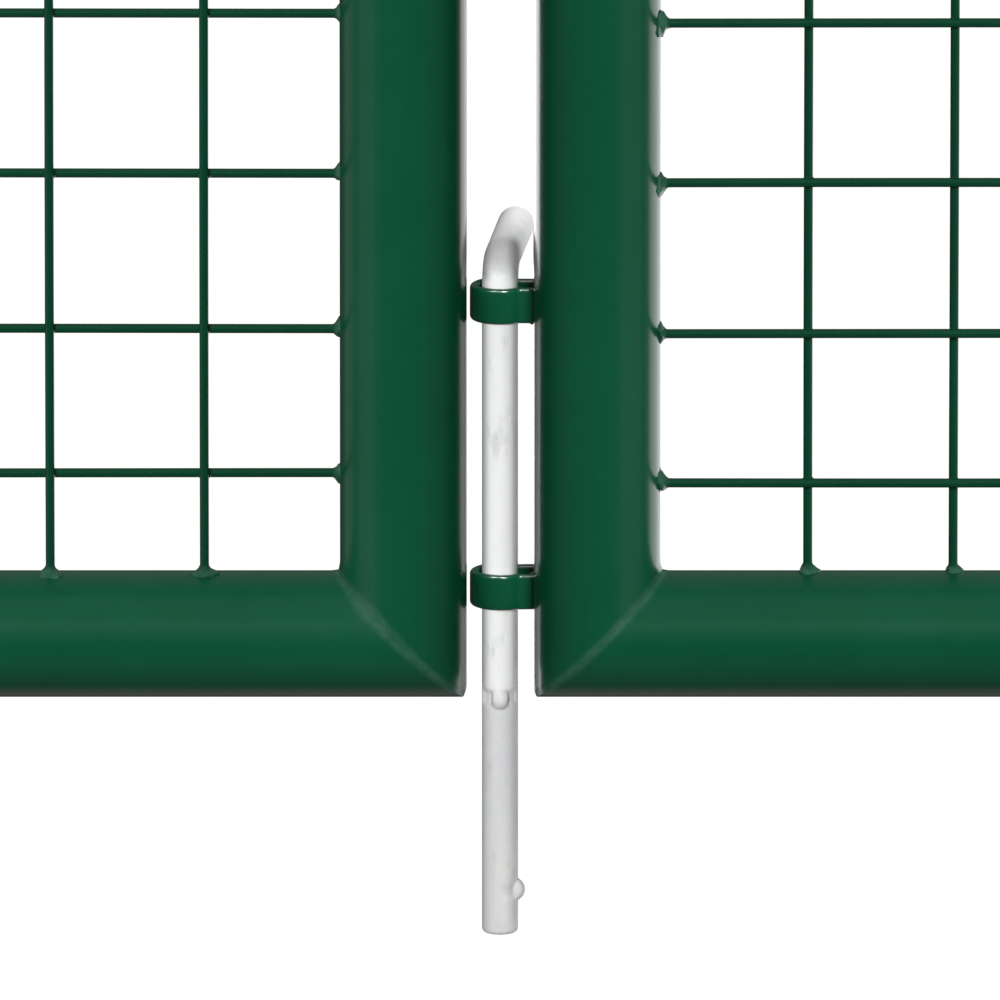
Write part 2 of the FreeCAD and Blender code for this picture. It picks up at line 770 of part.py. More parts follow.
def levers():
    """Two cranked levers on one square spindle, and the follower that draws the latch bolt."""
    side = "spindle_side + 2 * spindle_clearance"
    for name, way, y in (("front_lever", -Y_AXIS, "-case_face"), ("rear_lever", Y_AXIS, "case_face")):
        bar = bent_bar(name, "lever_radius", "lever_stem", "lever_bend", "lever_arm", "lever_chamfer")
        socket = box(name + "_socket", (side, side, "spindle_grip"), (f"-({side}) / 2", f"-({side}) / 2", "0"))
        lever = piece(cut(name, fuse(name + "_bar", *bar), socket))
        gap = "-lever_play" if way == -Y_AXIS else "lever_play"
        place(lever, ("lock_x", f"{y} + ({gap})", "spindle_z"), axes(-X_AXIS, way))
    length = "2 * (case_face + spindle_grip - fit_clearance)"
    piece(centred_box("lever_spindle", ("spindle_side", length, "spindle_side"), ("lock_x", "0", "spindle_z")))
    hub = fuse(
        "follower_blank",
        cylinder(
            "follower_round", "hub_radius", "hub_depth", ("lock_x", "-hub_depth / 2", "spindle_z"), ALONG_Y
        ),
        box(
            "follower_arm", ("hub_arm_width", "hub_arm_depth", "hub_arm"),
            ("lock_x - hub_arm_width / 2", "-hub_arm_depth / 2", "spindle_z"),
        ),
    )
    hole = centred_box("follower_hole", (side, "2 * hub_depth", side), ("lock_x", "0", "spindle_z"))
    piece(cut("lever_follower", hub, hole))


def latch():
    """The bevelled latch bolt, with a pocket for the follower's arm, and the spring behind it."""
    bar = box(
        "latch_bar", ("latch_nose - latch_back", "latch_depth", "latch_height"),
        ("latch_back", "-latch_depth / 2", "latch_z - latch_height / 2"),
    )
    pocket = box(
        "latch_pocket",
        ("latch_pull_gap + hub_arm_width + latch_free_gap", "latch_depth", "latch_pocket_height"),
        ("latch_back + latch_tail", "-latch_depth / 2", "latch_z - latch_height / 2"),
    )
    bevel = add(
        "Part::Wedge", "latch_bevel_cut", ("latch_nose", "-latch_depth / 2", "latch_z - latch_height / 2"),
        UPRIGHT, Xmin="-latch_bevel", Xmax="1", X2min="0", X2max="1", Ymin="0", Ymax="latch_depth",
        Zmin="0", Zmax="latch_height", Z2min="0", Z2max="latch_height",
    )
    piece(cut("latch_bolt", bar, pocket, bevel))
    start = number("case_left") + number("case_wall") + number("spring_gap")
    free = number("latch_back") - number("spring_gap") - start
    wire = number("spring_wire") / 2
    pitch = (free - 2 * wire) / number("spring_turns")
    helix = Part.makeHelix(pitch, free - 2 * wire, number("spring_radius"))
    begin = helix.Edges[0].valueAt(helix.Edges[0].FirstParameter)
    direction = helix.Edges[0].tangentAt(helix.Edges[0].FirstParameter)
    section = Part.Wire(Part.makeCircle(wire, begin, direction))
    spring = doc.addObject("Part::Feature", "latch_spring")
    spring.Shape = Part.Wire(helix.Edges).makePipeShell([section], True, True)
    spring.Placement = Placement(Vector(start + wire, 0, number("latch_z")), ALONG_X)
    piece(spring)


def dead_bolt():
    length = "bolt_tail - lock_x - bolt_nose"
    piece(
        box(
            "dead_bolt", (length, "bolt_depth", "bolt_height"),
            ("lock_x - bolt_tail", "-bolt_depth / 2", "bolt_z - bolt_height / 2"),
        )
    )


def lock_cylinder():
    """A profile cylinder with a slot at its middle for the cam, its turning plug and the key."""
    half = "cylinder_length / 2"
    profile = cylinder_profile("lock_cylinder_blank", "0", "cylinder_length", f"-({half})")
    bore = cylinder(
        "lock_cylinder_bore", "plug_radius + plug_clearance", "cylinder_length",
        ("lock_x", f"-({half})", "plug_z"), ALONG_Y,
    )
    slot = box(
        "lock_cylinder_slot",
        ("4 * cylinder_radius", "cam_slot", "2 * cam_reach + 2 * cam_gap"),
        ("lock_x - 2 * cylinder_radius", "-cam_slot / 2", "plug_z - cam_reach - cam_gap"),
    )
    piece(cut("lock_cylinder", profile, bore, slot))
    plug = cylinder(
        "cylinder_plug_blank", "plug_radius", "cylinder_length", ("lock_x", f"-({half})", "plug_z"), ALONG_Y
    )
    width = "key_blade_width + 2 * key_clearance"
    thickness = "key_blade_thickness + 2 * key_clearance"
    keyway = box(
        "cylinder_plug_keyway", (thickness, "key_blade_length", width),
        (f"lock_x - ({thickness}) / 2", f"-({half})", f"plug_z - ({width}) / 2"),
    )
    piece(cut("cylinder_plug", plug, keyway))
    cam = fuse(
        "cylinder_cam_blank",
        cylinder("cylinder_cam_rim", "cam_rim", "cam_width", ("lock_x", "-cam_width / 2", "plug_z"), ALONG_Y),
        box(
            "cylinder_cam_bit", ("cam_bit", "cam_width", "cam_reach"),
            ("lock_x - cam_bit / 2", "-cam_width / 2", "plug_z - cam_reach"),
        ),
    )
    cam_bore = cylinder(
        "cylinder_cam_bore", "plug_radius + weld_gap", "cam_width",
        ("lock_x", "-cam_width / 2", "plug_z"), ALONG_Y,
    )
    trim = common(
        "cylinder_cam", cut("cylinder_cam_ring", cam, cam_bore),
        cylinder(
            "cylinder_cam_sweep", "cam_reach", "cam_width", ("lock_x", "-cam_width / 2", "plug_z"), ALONG_Y
        ),
    )
    piece(trim)
    bow_y = f"-({half}) - key_neck - key_bow_radius"
    blade = centred_box(
        "key_blade",
        (
            "key_blade_thickness",
            "key_blade_length + key_neck + key_bow_radius / 2 - key_clearance",
            "key_blade_width",
        ),
        (
            "lock_x",
            f"-({half}) + (key_blade_length - key_clearance - key_neck - key_bow_radius / 2) / 2",
            "plug_z",
        ),
    )
    bow = cylinder(
        "key_bow", "key_bow_radius", "key_blade_thickness",
        ("lock_x - key_blade_thickness / 2", bow_y, "plug_z"), ALONG_X,
    )
    ring_hole = cylinder(
        "key_ring_hole", "key_hole_radius", "key_blade_thickness",
        ("lock_x - key_blade_thickness / 2", f"{bow_y} - key_bow_radius / 3", "plug_z"), ALONG_X,
    )
    piece(cut("key", fuse("key_blank", blade, bow), ring_hole))


def bolt_slots(name, clearance, x, length):
    """Openings along X for the latch bolt and the dead bolt."""
    return [
        centred_box(
            f"{name}_{word}_slot", (length, f"{depth} + 2 * {clearance}", f"{height} + 2 * {clearance}"),
            (x, "0", z),
        )
        for word, depth, height, z in (
            ("latch", "latch_depth", "latch_height", "latch_z"),
            ("bolt", "bolt_depth", "bolt_height", "bolt_z"),
        )
    ]


def latch_keep():
    """A channel welded on the right meeting stile, with a slot for each bolt of the lock."""
    near, low = "meeting_face - keep_reach", "lock_z - keep_length / 2"
    outside = box(
        "latch_keep_outside", ("keep_reach + tube_radius", "keep_width", "keep_length"),
        (near, "-keep_width / 2", low),
    )
    inside = box(
        "latch_keep_inside", ("keep_reach + tube_radius", "keep_width - 2 * keep_wall", "keep_length"),
        (f"{near} + keep_wall", "-keep_width / 2 + keep_wall", low),
    )
    stile = stile_cylinder("latch_keep_stile", "meeting_axis", low, "keep_length")
    slots = bolt_slots("latch_keep", "keep_slot_clearance", near, "keep_slot_depth")
    piece(cut("latch_keep", outside, inside, stile, *slots))


# ---------------------------------------------------------------- assembly

for side, word in ((LEFT, "left"), (RIGHT, "right")):
    base_plate(word + "_base_plate", side)
    post(word + "_post", side)
    post_cap(word + "_post_cap", side)
    away = HALF_TURN if side == LEFT else UPRIGHT
    for level, height, bracket, flip in (
        ("lower", "lower_eye", "lower_eye + eye_height / 2 + hinge_play", UPRIGHT),
        ("upper", "upper_eye", "upper_eye - eye_height / 2 - hinge_play", UPSIDE_DOWN),
    ):
        eyebolt(f"{word}_{level}_eyebolt", side, height)
        hinge_pin(f"{word}_{level}_hinge_pin", side, bracket, away.multiply(flip))
post_fasteners()
leaf_frame(LEFT, "left", bolt_slots("left_stile", "fit_clearance", "-meeting_axis", "2 * tube_diameter"))
leaf_frame(RIGHT, "right")
mesh(LEFT, "left", uprights_in_front=True, beside_lock=True)
mesh(RIGHT, "right", uprights_in_front=False, beside_lock=False)
drop_bolt()
bolt_guide("lower_bolt_guide", "lower_guide_rise")
bolt_guide("upper_bolt_guide", "upper_guide_rise")
lock_case()
lock_plates()
levers()
latch()
dead_bolt()
lock_cylinder()
latch_keep()
doc.recompute()

for item in doc.Objects:
    if "Invalid" in item.State or "Error" in item.State:
        raise ValueError(f"{item.Label} failed: {item.State}")
os.makedirs("parts", exist_ok=True)
for item in pieces:
    if item.Shape.isNull() or not item.Shape.isValid() or not item.Shape.Solids:
        raise ValueError(f"{item.Label} has no valid solid")
for item in pieces:
    item.Shape.exportStep(f"parts/{item.Label}.step")
print(len(pieces), "sub-parts")
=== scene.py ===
import json
import math
import random

import bmesh
import bpy
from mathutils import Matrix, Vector, noise

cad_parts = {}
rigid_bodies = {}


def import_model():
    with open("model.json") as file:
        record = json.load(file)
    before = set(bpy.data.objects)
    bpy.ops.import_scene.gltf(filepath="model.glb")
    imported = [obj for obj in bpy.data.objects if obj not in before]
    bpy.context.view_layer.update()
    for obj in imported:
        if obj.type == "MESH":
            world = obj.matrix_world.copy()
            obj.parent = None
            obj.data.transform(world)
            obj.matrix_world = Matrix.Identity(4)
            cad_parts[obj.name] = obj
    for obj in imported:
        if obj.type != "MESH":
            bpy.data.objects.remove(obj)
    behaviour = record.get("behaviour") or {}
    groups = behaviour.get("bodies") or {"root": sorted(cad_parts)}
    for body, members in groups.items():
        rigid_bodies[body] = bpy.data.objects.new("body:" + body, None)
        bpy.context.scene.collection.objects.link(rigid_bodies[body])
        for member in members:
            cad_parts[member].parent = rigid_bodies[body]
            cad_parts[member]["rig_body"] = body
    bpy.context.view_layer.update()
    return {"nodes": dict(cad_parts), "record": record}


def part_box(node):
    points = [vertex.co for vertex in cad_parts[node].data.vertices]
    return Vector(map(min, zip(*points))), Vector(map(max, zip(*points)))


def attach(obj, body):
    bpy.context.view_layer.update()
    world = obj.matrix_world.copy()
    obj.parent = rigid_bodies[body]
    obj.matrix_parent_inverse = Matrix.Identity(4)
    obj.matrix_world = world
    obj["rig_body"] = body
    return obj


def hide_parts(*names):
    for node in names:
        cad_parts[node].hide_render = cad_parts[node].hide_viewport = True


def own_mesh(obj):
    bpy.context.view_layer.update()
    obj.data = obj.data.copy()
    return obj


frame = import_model()

MM = 0.001
X, Y, Z = Vector((1, 0, 0)), Vector((0, 1, 0)), Vector((0, 0, 1))


# ---------------------------------------------------------------- sizes read from the frame

STILE = {side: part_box(side + "_meeting_stile") for side in ("left", "right")}
HINGE_STILE = {side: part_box(side + "_hinge_stile") for side in ("left", "right")}
RAIL = {side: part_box(side + "_bottom_rail") for side in ("left", "right")}
TOP_RAIL = {side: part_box(side + "_top_rail") for side in ("left", "right")}
TUBE_R = (RAIL["left"][1].z - RAIL["left"][0].z) / 2
LEAF_LOW, LEAF_HIGH = RAIL["left"][0].z, TOP_RAIL["left"][1].z
RAIL_Z = LEAF_LOW + TUBE_R
ROD_LOW, ROD_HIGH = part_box("drop_rod")
ROD_R = 6 * MM
LUG_REACH = 8.4 * MM
ROD_Y = ROD_LOW.y + LUG_REACH
STRAP_THICK = 3 * MM
BRACKET_HALF_WIDE, BRACKET_TALL = 12 * MM, 12 * MM
TUBE_WALL = 2 * MM


# ---------------------------------------------------------------- materials


def smooth_range(tree, source, low, high):
    """A node that goes smoothly from 0 to 1 as the source goes from low to high, whichever is larger."""
    node = tree.nodes.new("ShaderNodeMapRange")
    node.interpolation_type = "SMOOTHSTEP"
    node.inputs["From Min"].default_value = min(low, high)
    node.inputs["From Max"].default_value = max(low, high)
    if low > high:
        node.inputs["To Min"].default_value, node.inputs["To Max"].default_value = 1, 0
    tree.links.new(source, node.inputs["Value"])
    return node.outputs["Result"]


class Nodes:
    """A material's node tree, with short calls to add and join nodes."""

    def __init__(self, name):
        self.material = bpy.data.materials.new(name)
        self.material.use_nodes = True
        self.tree = self.material.node_tree
        self.shader = self.tree.nodes["Principled BSDF"]
        self.point = self.add("ShaderNodeTexCoord").outputs["Object"]

    def add(self, kind, **settings):
        node = self.tree.nodes.new(kind)
        for key, value in settings.items():
            setattr(node, key, value)
        return node

    def join(self, out, into):
        self.tree.links.new(out, into)

    def noise(self, scale, detail=3.0, roughness=0.5, stretch=None):
        node = self.add("ShaderNodeTexNoise")
        node.inputs["Scale"].default_value = scale
        node.inputs["Detail"].default_value = detail
        node.inputs["Roughness"].default_value = roughness
        point = self.point
        if stretch:
            mapping = self.add("ShaderNodeMapping")
            mapping.inputs["Scale"].default_value = stretch
            self.join(point, mapping.inputs["Vector"])
            point = mapping.outputs["Vector"]
        self.join(point, node.inputs["Vector"])
        return node.outputs["Fac"]

    def cells(self, scale, feature="F1", randomness=1.0):
        node = self.add("ShaderNodeTexVoronoi", feature=feature)
        node.inputs["Scale"].default_value = scale
        node.inputs["Randomness"].default_value = randomness
        self.join(self.point, node.inputs["Vector"])
        return node

    def ramp(self, fac, *stops):
        node = self.add("ShaderNodeValToRGB")
        elements = node.color_ramp.elements
        while len(elements) < len(stops):
            elements.new(0.5)
        for element, (place, colour) in zip(elements, stops):
            element.position = place
            element.color = (*colour, 1) if isinstance(colour, tuple) else (colour, colour, colour, 1)
        self.join(fac, node.inputs["Fac"])
        return node.outputs["Color"]

    def mix(self, fac, first, second, blend="MIX"):
        node = self.add("ShaderNodeMix", data_type="RGBA", blend_type=blend)
        for socket, value in ((node.inputs[0], fac), (node.inputs[6], first), (node.inputs[7], second)):
            if isinstance(value, bpy.types.NodeSocket):
                self.join(value, socket)
            else:
                socket.default_value = value if isinstance(value, float) else (*value, 1)
        return node.outputs[2]

    def scaled(self, fac, low, high):
        node = self.add("ShaderNodeMapRange")
        node.inputs["To Min"].default_value = low
        node.inputs["To Max"].default_value = high
        self.join(fac, node.inputs["Value"])
        return node.outputs["Result"]

    def step(self, axis, low, high):
        """A smooth step from 0 to 1 as the place along an axis goes from low to high, in metres."""
        if not hasattr(self, "place"):
            self.place = self.add("ShaderNodeSeparateXYZ")
            self.join(self.point, self.place.inputs[0])
        source = self.place.outputs[axis.strip("|")]
        if axis[0] == "|":
            size = self.add("ShaderNodeMath", operation="ABSOLUTE")
            self.join(source, size.inputs[0])
            source = size.outputs[0]
        return smooth_range(self.tree, source, low, high)

    def product(self, first, *others):
        """The product of numbers and sockets."""
        for other in others:
            node = self.add("ShaderNodeMath", operation="MULTIPLY")
            for value, socket in ((first, node.inputs[0]), (other, node.inputs[1])):
                if isinstance(value, bpy.types.NodeSocket):
                    self.join(value, socket)
                else:
                    socket.default_value = value
            first = node.outputs[0]
        return first

    def bump(self, height, distance, strength=1.0, after=None):
        node = self.add("ShaderNodeBump")
        node.inputs["Distance"].default_value = distance
        node.inputs["Strength"].default_value = strength
        self.join(height, node.inputs["Height"])
        if after:
            self.join(after, node.inputs["Normal"])
        return node.outputs["Normal"]

    def finish(self, colour=None, roughness=None, normal=None, **values):
        for socket, value in (("Base Color", colour), ("Roughness", roughness), ("Normal", normal)):
            if isinstance(value, bpy.types.NodeSocket):
                self.join(value, self.shader.inputs[socket])
            elif value is not None:
                self.shader.inputs[socket].default_value = value
        for key, value in values.items():
            self.shader.inputs[key.replace("_", " ")].default_value = value
        return self.material


def green_powder_coat(name="green_powder_coat", depth=1.0):
    """Gloss dark green, with a faint orange peel, slow changes of depth and paler patches over the welds as
    painted highlight.
    """
    n = Nodes(name)
    slow = n.noise(14, 4, 0.6)
    fine = n.noise(160, 3, 0.5)
    # depth below 1 darkens the whole coat, which the wires' copy uses as painted shade
    low = tuple(depth * c for c in (0.0032, 0.076, 0.0345))
    high = tuple(depth * c for c in (0.0048, 0.088, 0.0425))
    colour = n.ramp(slow, (0.35, low), (0.65, high))
    colour = n.mix(0.25, colour, n.ramp(fine, (0.3, low), (0.7, high)))
    weld = n.add("ShaderNodeAttribute", attribute_name="weld").outputs["Fac"]
    patch = n.ramp(n.noise(210, 4, 0.65), (0.35, 0.45), (0.62, 1.0))
    # painted highlight: paler grey-green patches where the weld mask is high
    colour = n.mix(n.product(weld, patch), colour, (0.034, 0.122, 0.078))
    peel = n.bump(n.noise(420, 2, 0.4), 0.00003, 0.35)
    waves = n.bump(n.noise(55, 2, 0.5), 0.00018, 0.3, after=peel)
    waves = n.bump(n.product(weld, n.noise(900, 3, 0.6)), 0.00025, 0.6, after=waves)
    rough = n.scaled(n.noise(40, 3, 0.6), 0.17, 0.26)
    return n.finish(colour, rough, waves)


def galvanised_steel():
    """Dull galvanised bar: paler above its upper lug and stained below it, with painted shade down its sides
    above the lug, at its elbow and on the sides of its bend, and a painted highlight along its far arm. The
    steps are places on the bar at rest, in metres."""
    n = Nodes("galvanised_steel")
    streak = n.noise(60, 5, 0.65, stretch=(1, 1, 0.12))
    stain_and_shading_noise = n.noise(95, 5, 0.7, stretch=(1, 1, 0.35))
    spangle = n.cells(380).outputs["Color"]
    above_upper_lug = n.step("Z", 0.078, 0.094)
    low = n.ramp(streak, (0.3, (0.57, 0.575, 0.575)), (0.7, (0.71, 0.715, 0.715)))
    high = n.ramp(streak, (0.3, (0.78, 0.79, 0.785)), (0.7, (0.90, 0.905, 0.90)))
    base = n.mix(above_upper_lug, low, high)
    base = n.mix(0.07, base, spangle, "SOFT_LIGHT")
    base = n.mix(n.ramp(stain_and_shading_noise, (0.54, 0.0), (0.72, 0.60)), base, (0.40, 0.415, 0.40))
    # painted shade: the bar's left and right sides above the upper lug are darkened towards grey
    sides = n.product(0.62, n.step("|X|", 0.0030, 0.0060), above_upper_lug)
    base = n.mix(sides, base, (0.30, 0.305, 0.30))
    # painted shade: the bend and the arm are made greyer than the upright, unevenly by the stain noise
    elbow = n.ramp(stain_and_shading_noise, (0.4, (0.59, 0.59, 0.585)), (0.8, (0.50, 0.50, 0.495)))
    base = n.mix(n.step("Z", 0.2285, 0.2350), base, elbow)
    # painted highlight: the far part of the arm is made paler again
    arm = n.ramp(stain_and_shading_noise, (0.4, (0.93, 0.93, 0.925)), (0.8, (0.80, 0.80, 0.795)))
    base = n.mix(n.step("Y", 0.0120, 0.0260), base, arm)
    # painted shade: the sides of the bend are darkened unevenly towards near black
    painted_bend_shade = n.product(0.5, n.scaled(n.noise(150, 3, 0.6), 0.35, 1.35), n.step("Z", 0.2265, 0.2300),
                       n.step("Y", 0.0300, 0.0200), n.step("|X|", 0.0018, 0.0052))
    base = n.mix(painted_bend_shade, base, (0.15, 0.16, 0.155))
    rough = n.scaled(n.noise(180, 4, 0.6), 0.42, 0.60)
    bump = n.bump(n.noise(700, 3, 0.6), 0.00004, 0.5)
    bump = n.bump(streak, 0.00010, 0.35, after=bump)
    return n.finish(base, rough, bump, Metallic=0.2)


def zinc_plated_steel():
    n = Nodes("zinc_plated_steel")
    tint = n.ramp(n.noise(45, 4, 0.6), (0.3, (0.52, 0.54, 0.58)), (0.7, (0.66, 0.65, 0.60)))
    rough = n.scaled(n.noise(220, 3, 0.6), 0.24, 0.40)
    return n.finish(tint, rough, n.bump(n.noise(900, 2), 0.00003, 0.4), Metallic=0.55)


def satin_steel():
    n = Nodes("satin_steel")
    brushed = n.noise(300, 4, 0.6, stretch=(0.08, 1, 1))
    colour = n.ramp(brushed, (0.3, (0.42, 0.42, 0.43)), (0.7, (0.58, 0.58, 0.59)))
    return n.finish(colour, n.scaled(brushed, 0.28, 0.42), n.bump(brushed, 0.00003, 0.5), Metallic=0.6)


def satin_nickel():
    n = Nodes("satin_nickel")
    brushed = n.noise(260, 4, 0.6, stretch=(1, 0.1, 1))
    colour = n.ramp(brushed, (0.3, (0.52, 0.48, 0.40)), (0.7, (0.66, 0.61, 0.52)))
    return n.finish(colour, n.scaled(brushed, 0.24, 0.38), n.bump(brushed, 0.00002, 0.5), Metallic=0.6)


def black_plastic():
    """Moulded black with a fine matt grain, polished a little where hands touch it."""
    n = Nodes("black_plastic")
    worn = n.noise(18, 3, 0.5)
    colour = n.ramp(worn, (0.35, (0.011, 0.011, 0.012)), (0.7, (0.020, 0.020, 0.021)))
    grain = n.bump(n.noise(1500, 2, 0.5), 0.00005, 0.6)
    return n.finish(colour, n.scaled(worn, 0.38, 0.52), grain)


MATERIAL = {
    "green_powder_coat": green_powder_coat(),
    # the wires' coat: the same green darkened to 0.62 as painted shade
    "green_wire_coat": green_powder_coat("green_wire_coat", 0.62),
    "galvanised_steel": galvanised_steel(),
    "zinc_plated_steel": zinc_plated_steel(),
    "satin_steel": satin_steel(),
    "black_plastic": black_plastic(),
    "brass": satin_nickel(),
}


# ---------------------------------------------------------------- mesh helpers


def new_piece(name, verts, faces, body, slot, nodes=(), sharp=35.0, welds=None, finish=None):
    """A piece in the row frame, made from plain points and faces, that rides on a body."""
    mesh = bpy.data.meshes.new(name)
    mesh.from_pydata([tuple(v) for v in verts], [], faces)
    if welds is not None:
        mesh.attributes.new("weld", "FLOAT", "POINT").data.foreach_set("value", welds)
    mesh.shade_smooth()
    mesh.set_sharp_from_angle(angle=math.radians(sharp))
    piece = bpy.data.objects.new(name, mesh)
    bpy.context.scene.collection.objects.link(piece)
    return dress(piece, body, slot, nodes, finish)


def dress(piece, body, slot, nodes=(), finish=None):
    """Gives a piece the material of its finish, or else of its slot, puts it on its body, and hides the CAD nodes
    that it stands for.
    """
    piece.data.materials.clear()
    piece.data.materials.append(MATERIAL[finish or slot])
    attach(piece, body)
    if nodes:
        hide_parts(*nodes)
    return piece


class Build:
    """Points and faces gathered from several simple shapes."""

    def __init__(self):
        self.verts, self.faces, self.welds = [], [], []

    def grid(self, rows, closed=True, cap_start=False, cap_end=False, welds=None):
        """Rows of points joined by quads; closed joins each row's last point to its first."""
        base, wide = len(self.verts), len(rows[0])
        for row in rows:
            self.verts.extend(row)
        self.welds.extend([0.0] * (len(rows) * wide) if welds is None else sum(welds, []))
        across = wide if closed else wide - 1
        for i in range(len(rows) - 1):
            for j in range(across):
                a, b = base + i * wide + j, base + i * wide + (j + 1) % wide
                self.faces.append((a, b, b + wide, a + wide))
        if cap_start:
            self.faces.append(tuple(base + j for j in reversed(range(wide))))
        if cap_end:
            last = base + (len(rows) - 1) * wide
            self.faces.append(tuple(last + j for j in range(wide)))

    def lathe(self, origin, axis, side, profile, count=48):
        """Turns (distance along the axis, radius) pairs about the axis."""
        other = axis.cross(side)
        rows = []
        for along, radius in profile:
            row = []
            for k in range(count):
                angle = 2 * math.pi * k / count
                out = side * (radius * math.cos(angle)) + other * (radius * math.sin(angle))
                row.append(origin + axis * along + out)
            rows.append(row)
        self.grid(rows, cap_start=True, cap_end=True)

    def piece(self, *args, **kwargs):
        return new_piece(args[0], self.verts, self.faces, *args[1:], welds=self.welds, **kwargs)


def smooth_step(t):
    t = min(max(t, 0.0), 1.0)
    return t * t * (3 - 2 * t)


# ---------------------------------------------------------------- frame tubes

CORNER_ROUND = 4 * MM
SEAM_ROWS = [0, 0.4, 0.8, 1.2, 1.7, 2.2, 2.8, 3.5, 4.3, 5.2, 6.5, 8.5, 12]
TUBE_SIDES = 120


def corner_trim(v):
    """Where the rounded outer corner cuts a surface line that lies v inwards from the outer face."""
    if v >= CORNER_ROUND * (1 - math.sqrt(0.5)):
        return v
    inside = CORNER_ROUND - max(v, 0.0)
    return CORNER_ROUND - math.sqrt(CORNER_ROUND**2 - inside**2)


def frame_tube(name, body, origin, along, inward, length, fillet):
    """A mitred tube whose ground weld stands a little proud of the seam and fills the inner corner."""
    across = along.cross(inward)
    build = Build()

    def seam_height(angle, end):
        """The weld's height at this angle round the tube; 0 is the outer face and pi the inner corner."""
        facing = abs(math.remainder(angle, 2 * math.pi)) / math.pi
        v, w = TUBE_R * (1 - math.cos(angle)), TUBE_R * math.sin(angle)
        corner = origin + (along * length if end else Vector((0, 0, 0)))
        seam = corner + inward * v + along * (-v if end else v) + across * w
        rough = noise.noise(seam * 260) * 0.5 + noise.noise(seam * 90 + Vector((7, 1, 3)))
        ground = 0.07 * smooth_step((facing - 0.12) / 0.2) * (1 + 0.9 * rough)
        filled = fillet * smooth_step((facing - 0.86) / 0.14) * (1 + 0.5 * rough)
        wide = 1.2 + 2.4 * max(0.0, noise.noise(seam * 38 + Vector((2, 5, 9))) + 0.10)
        return (ground + filled) * MM, wide * (1 - 0.35 * smooth_step((facing - 0.8) / 0.2))

    rows, welds = [], []
    for end in (False, True):
        block, shades = [], []
        for distance in SEAM_ROWS:
            row, shade = [], []
            for k in range(TUBE_SIDES):
                angle = 2 * math.pi * k / TUBE_SIDES
                height, spread = seam_height(angle, end)
                bulge = height * math.exp(-((distance / 1.9) ** 2))
                # the weld mask here sets how much painted highlight the seam gets
                shade.append(math.exp(-((distance / (1.9 * spread)) ** 4)) * 0.9)
                radius, seam_radius = TUBE_R + bulge, TUBE_R + height
                v, w = TUBE_R - radius * math.cos(angle), radius * math.sin(angle)
                u = corner_trim(TUBE_R - seam_radius * math.cos(angle)) + distance * MM
                row.append(origin + along * (length - u if end else u) + inward * v + across * w)
            block.append(row)
            shades.append(shade)
        rows += block[::-1] if end else block
        welds += shades[::-1] if end else shades
    build.grid(rows, welds=welds)
    cap_v = [CORNER_ROUND * (1 - math.sqrt(0.5)) * k / 6 for k in range(7)]
    for end in (False, True):
        cap = []
        for v in cap_v:
            half = math.sqrt(TUBE_R**2 - (TUBE_R - v) ** 2)
            u = corner_trim(v - 1e-9)
            spot = origin + along * (length - u if end else u) + inward * v
            cap.append([spot + across * (half * (k / 8 - 1)) for k in range(17)])
        build.grid(cap, closed=False)
    return build.piece(name + "_tube", body, "green_powder_coat", nodes=(name,), sharp=50.0)


def sort_by_corners(bm):
    """Puts edges and faces in the order of their corners, because an extrusion's own order varies between runs."""
    bm.verts.index_update()
    for parts in (bm.edges, bm.faces):
        ordered = sorted(parts, key=lambda part: sorted(vert.index for vert in part.verts))
        for place, part in enumerate(ordered):
            part.index = place
        parts.sort()


def cut_slots(tube, axis_x, nodes, play=0.5 * MM):
    """Opens both sides of a tube for the bolts that pass through it, and shows the wall's thickness there."""
    bm = bmesh.new()
    bm.from_mesh(tube.data)
    for node in nodes:
        low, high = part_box(node)
        half, bottom, top = high.y + play, low.z - play, high.z + play

        def inside(point, slack=0.0):
            return bottom - slack < point.z < top + slack and abs(point.y) < half + slack

        for level in (bottom, top):
            bmesh.ops.bisect_plane(bm, geom=bm.verts[:] + bm.edges[:] + bm.faces[:], dist=1e-7,
                                   plane_co=Z * level, plane_no=Z)
        for edge_y in (-half, half):
            band = [face for face in bm.faces if bottom < face.calc_center_median().z < top]
            parts = dict.fromkeys(part for face in band for part in (*face.verts, *face.edges, face))
            bmesh.ops.bisect_plane(bm, geom=list(parts), dist=1e-7, plane_co=Y * edge_y, plane_no=Y)
        opened = [face for face in bm.faces if inside(face.calc_center_median())]
        bmesh.ops.delete(bm, geom=opened, context="FACES")
        rim = [edge for edge in bm.edges if edge.is_boundary and all(inside(v.co, 1e-5) for v in edge.verts)]
        lip = bmesh.ops.extrude_edge_only(bm, edges=rim)["geom"]
        for vert in (part for part in lip if isinstance(part, bmesh.types.BMVert)):
            depth = math.sqrt((TUBE_R - TUBE_WALL) ** 2 - vert.co.y**2)
            vert.co.x = axis_x + math.copysign(depth, vert.co.x - axis_x)
    sort_by_corners(bm)
    bm.to_mesh(tube.data)
    bm.free()
    tube.data.shade_smooth()
    tube.data.set_sharp_from_angle(angle=math.radians(50))


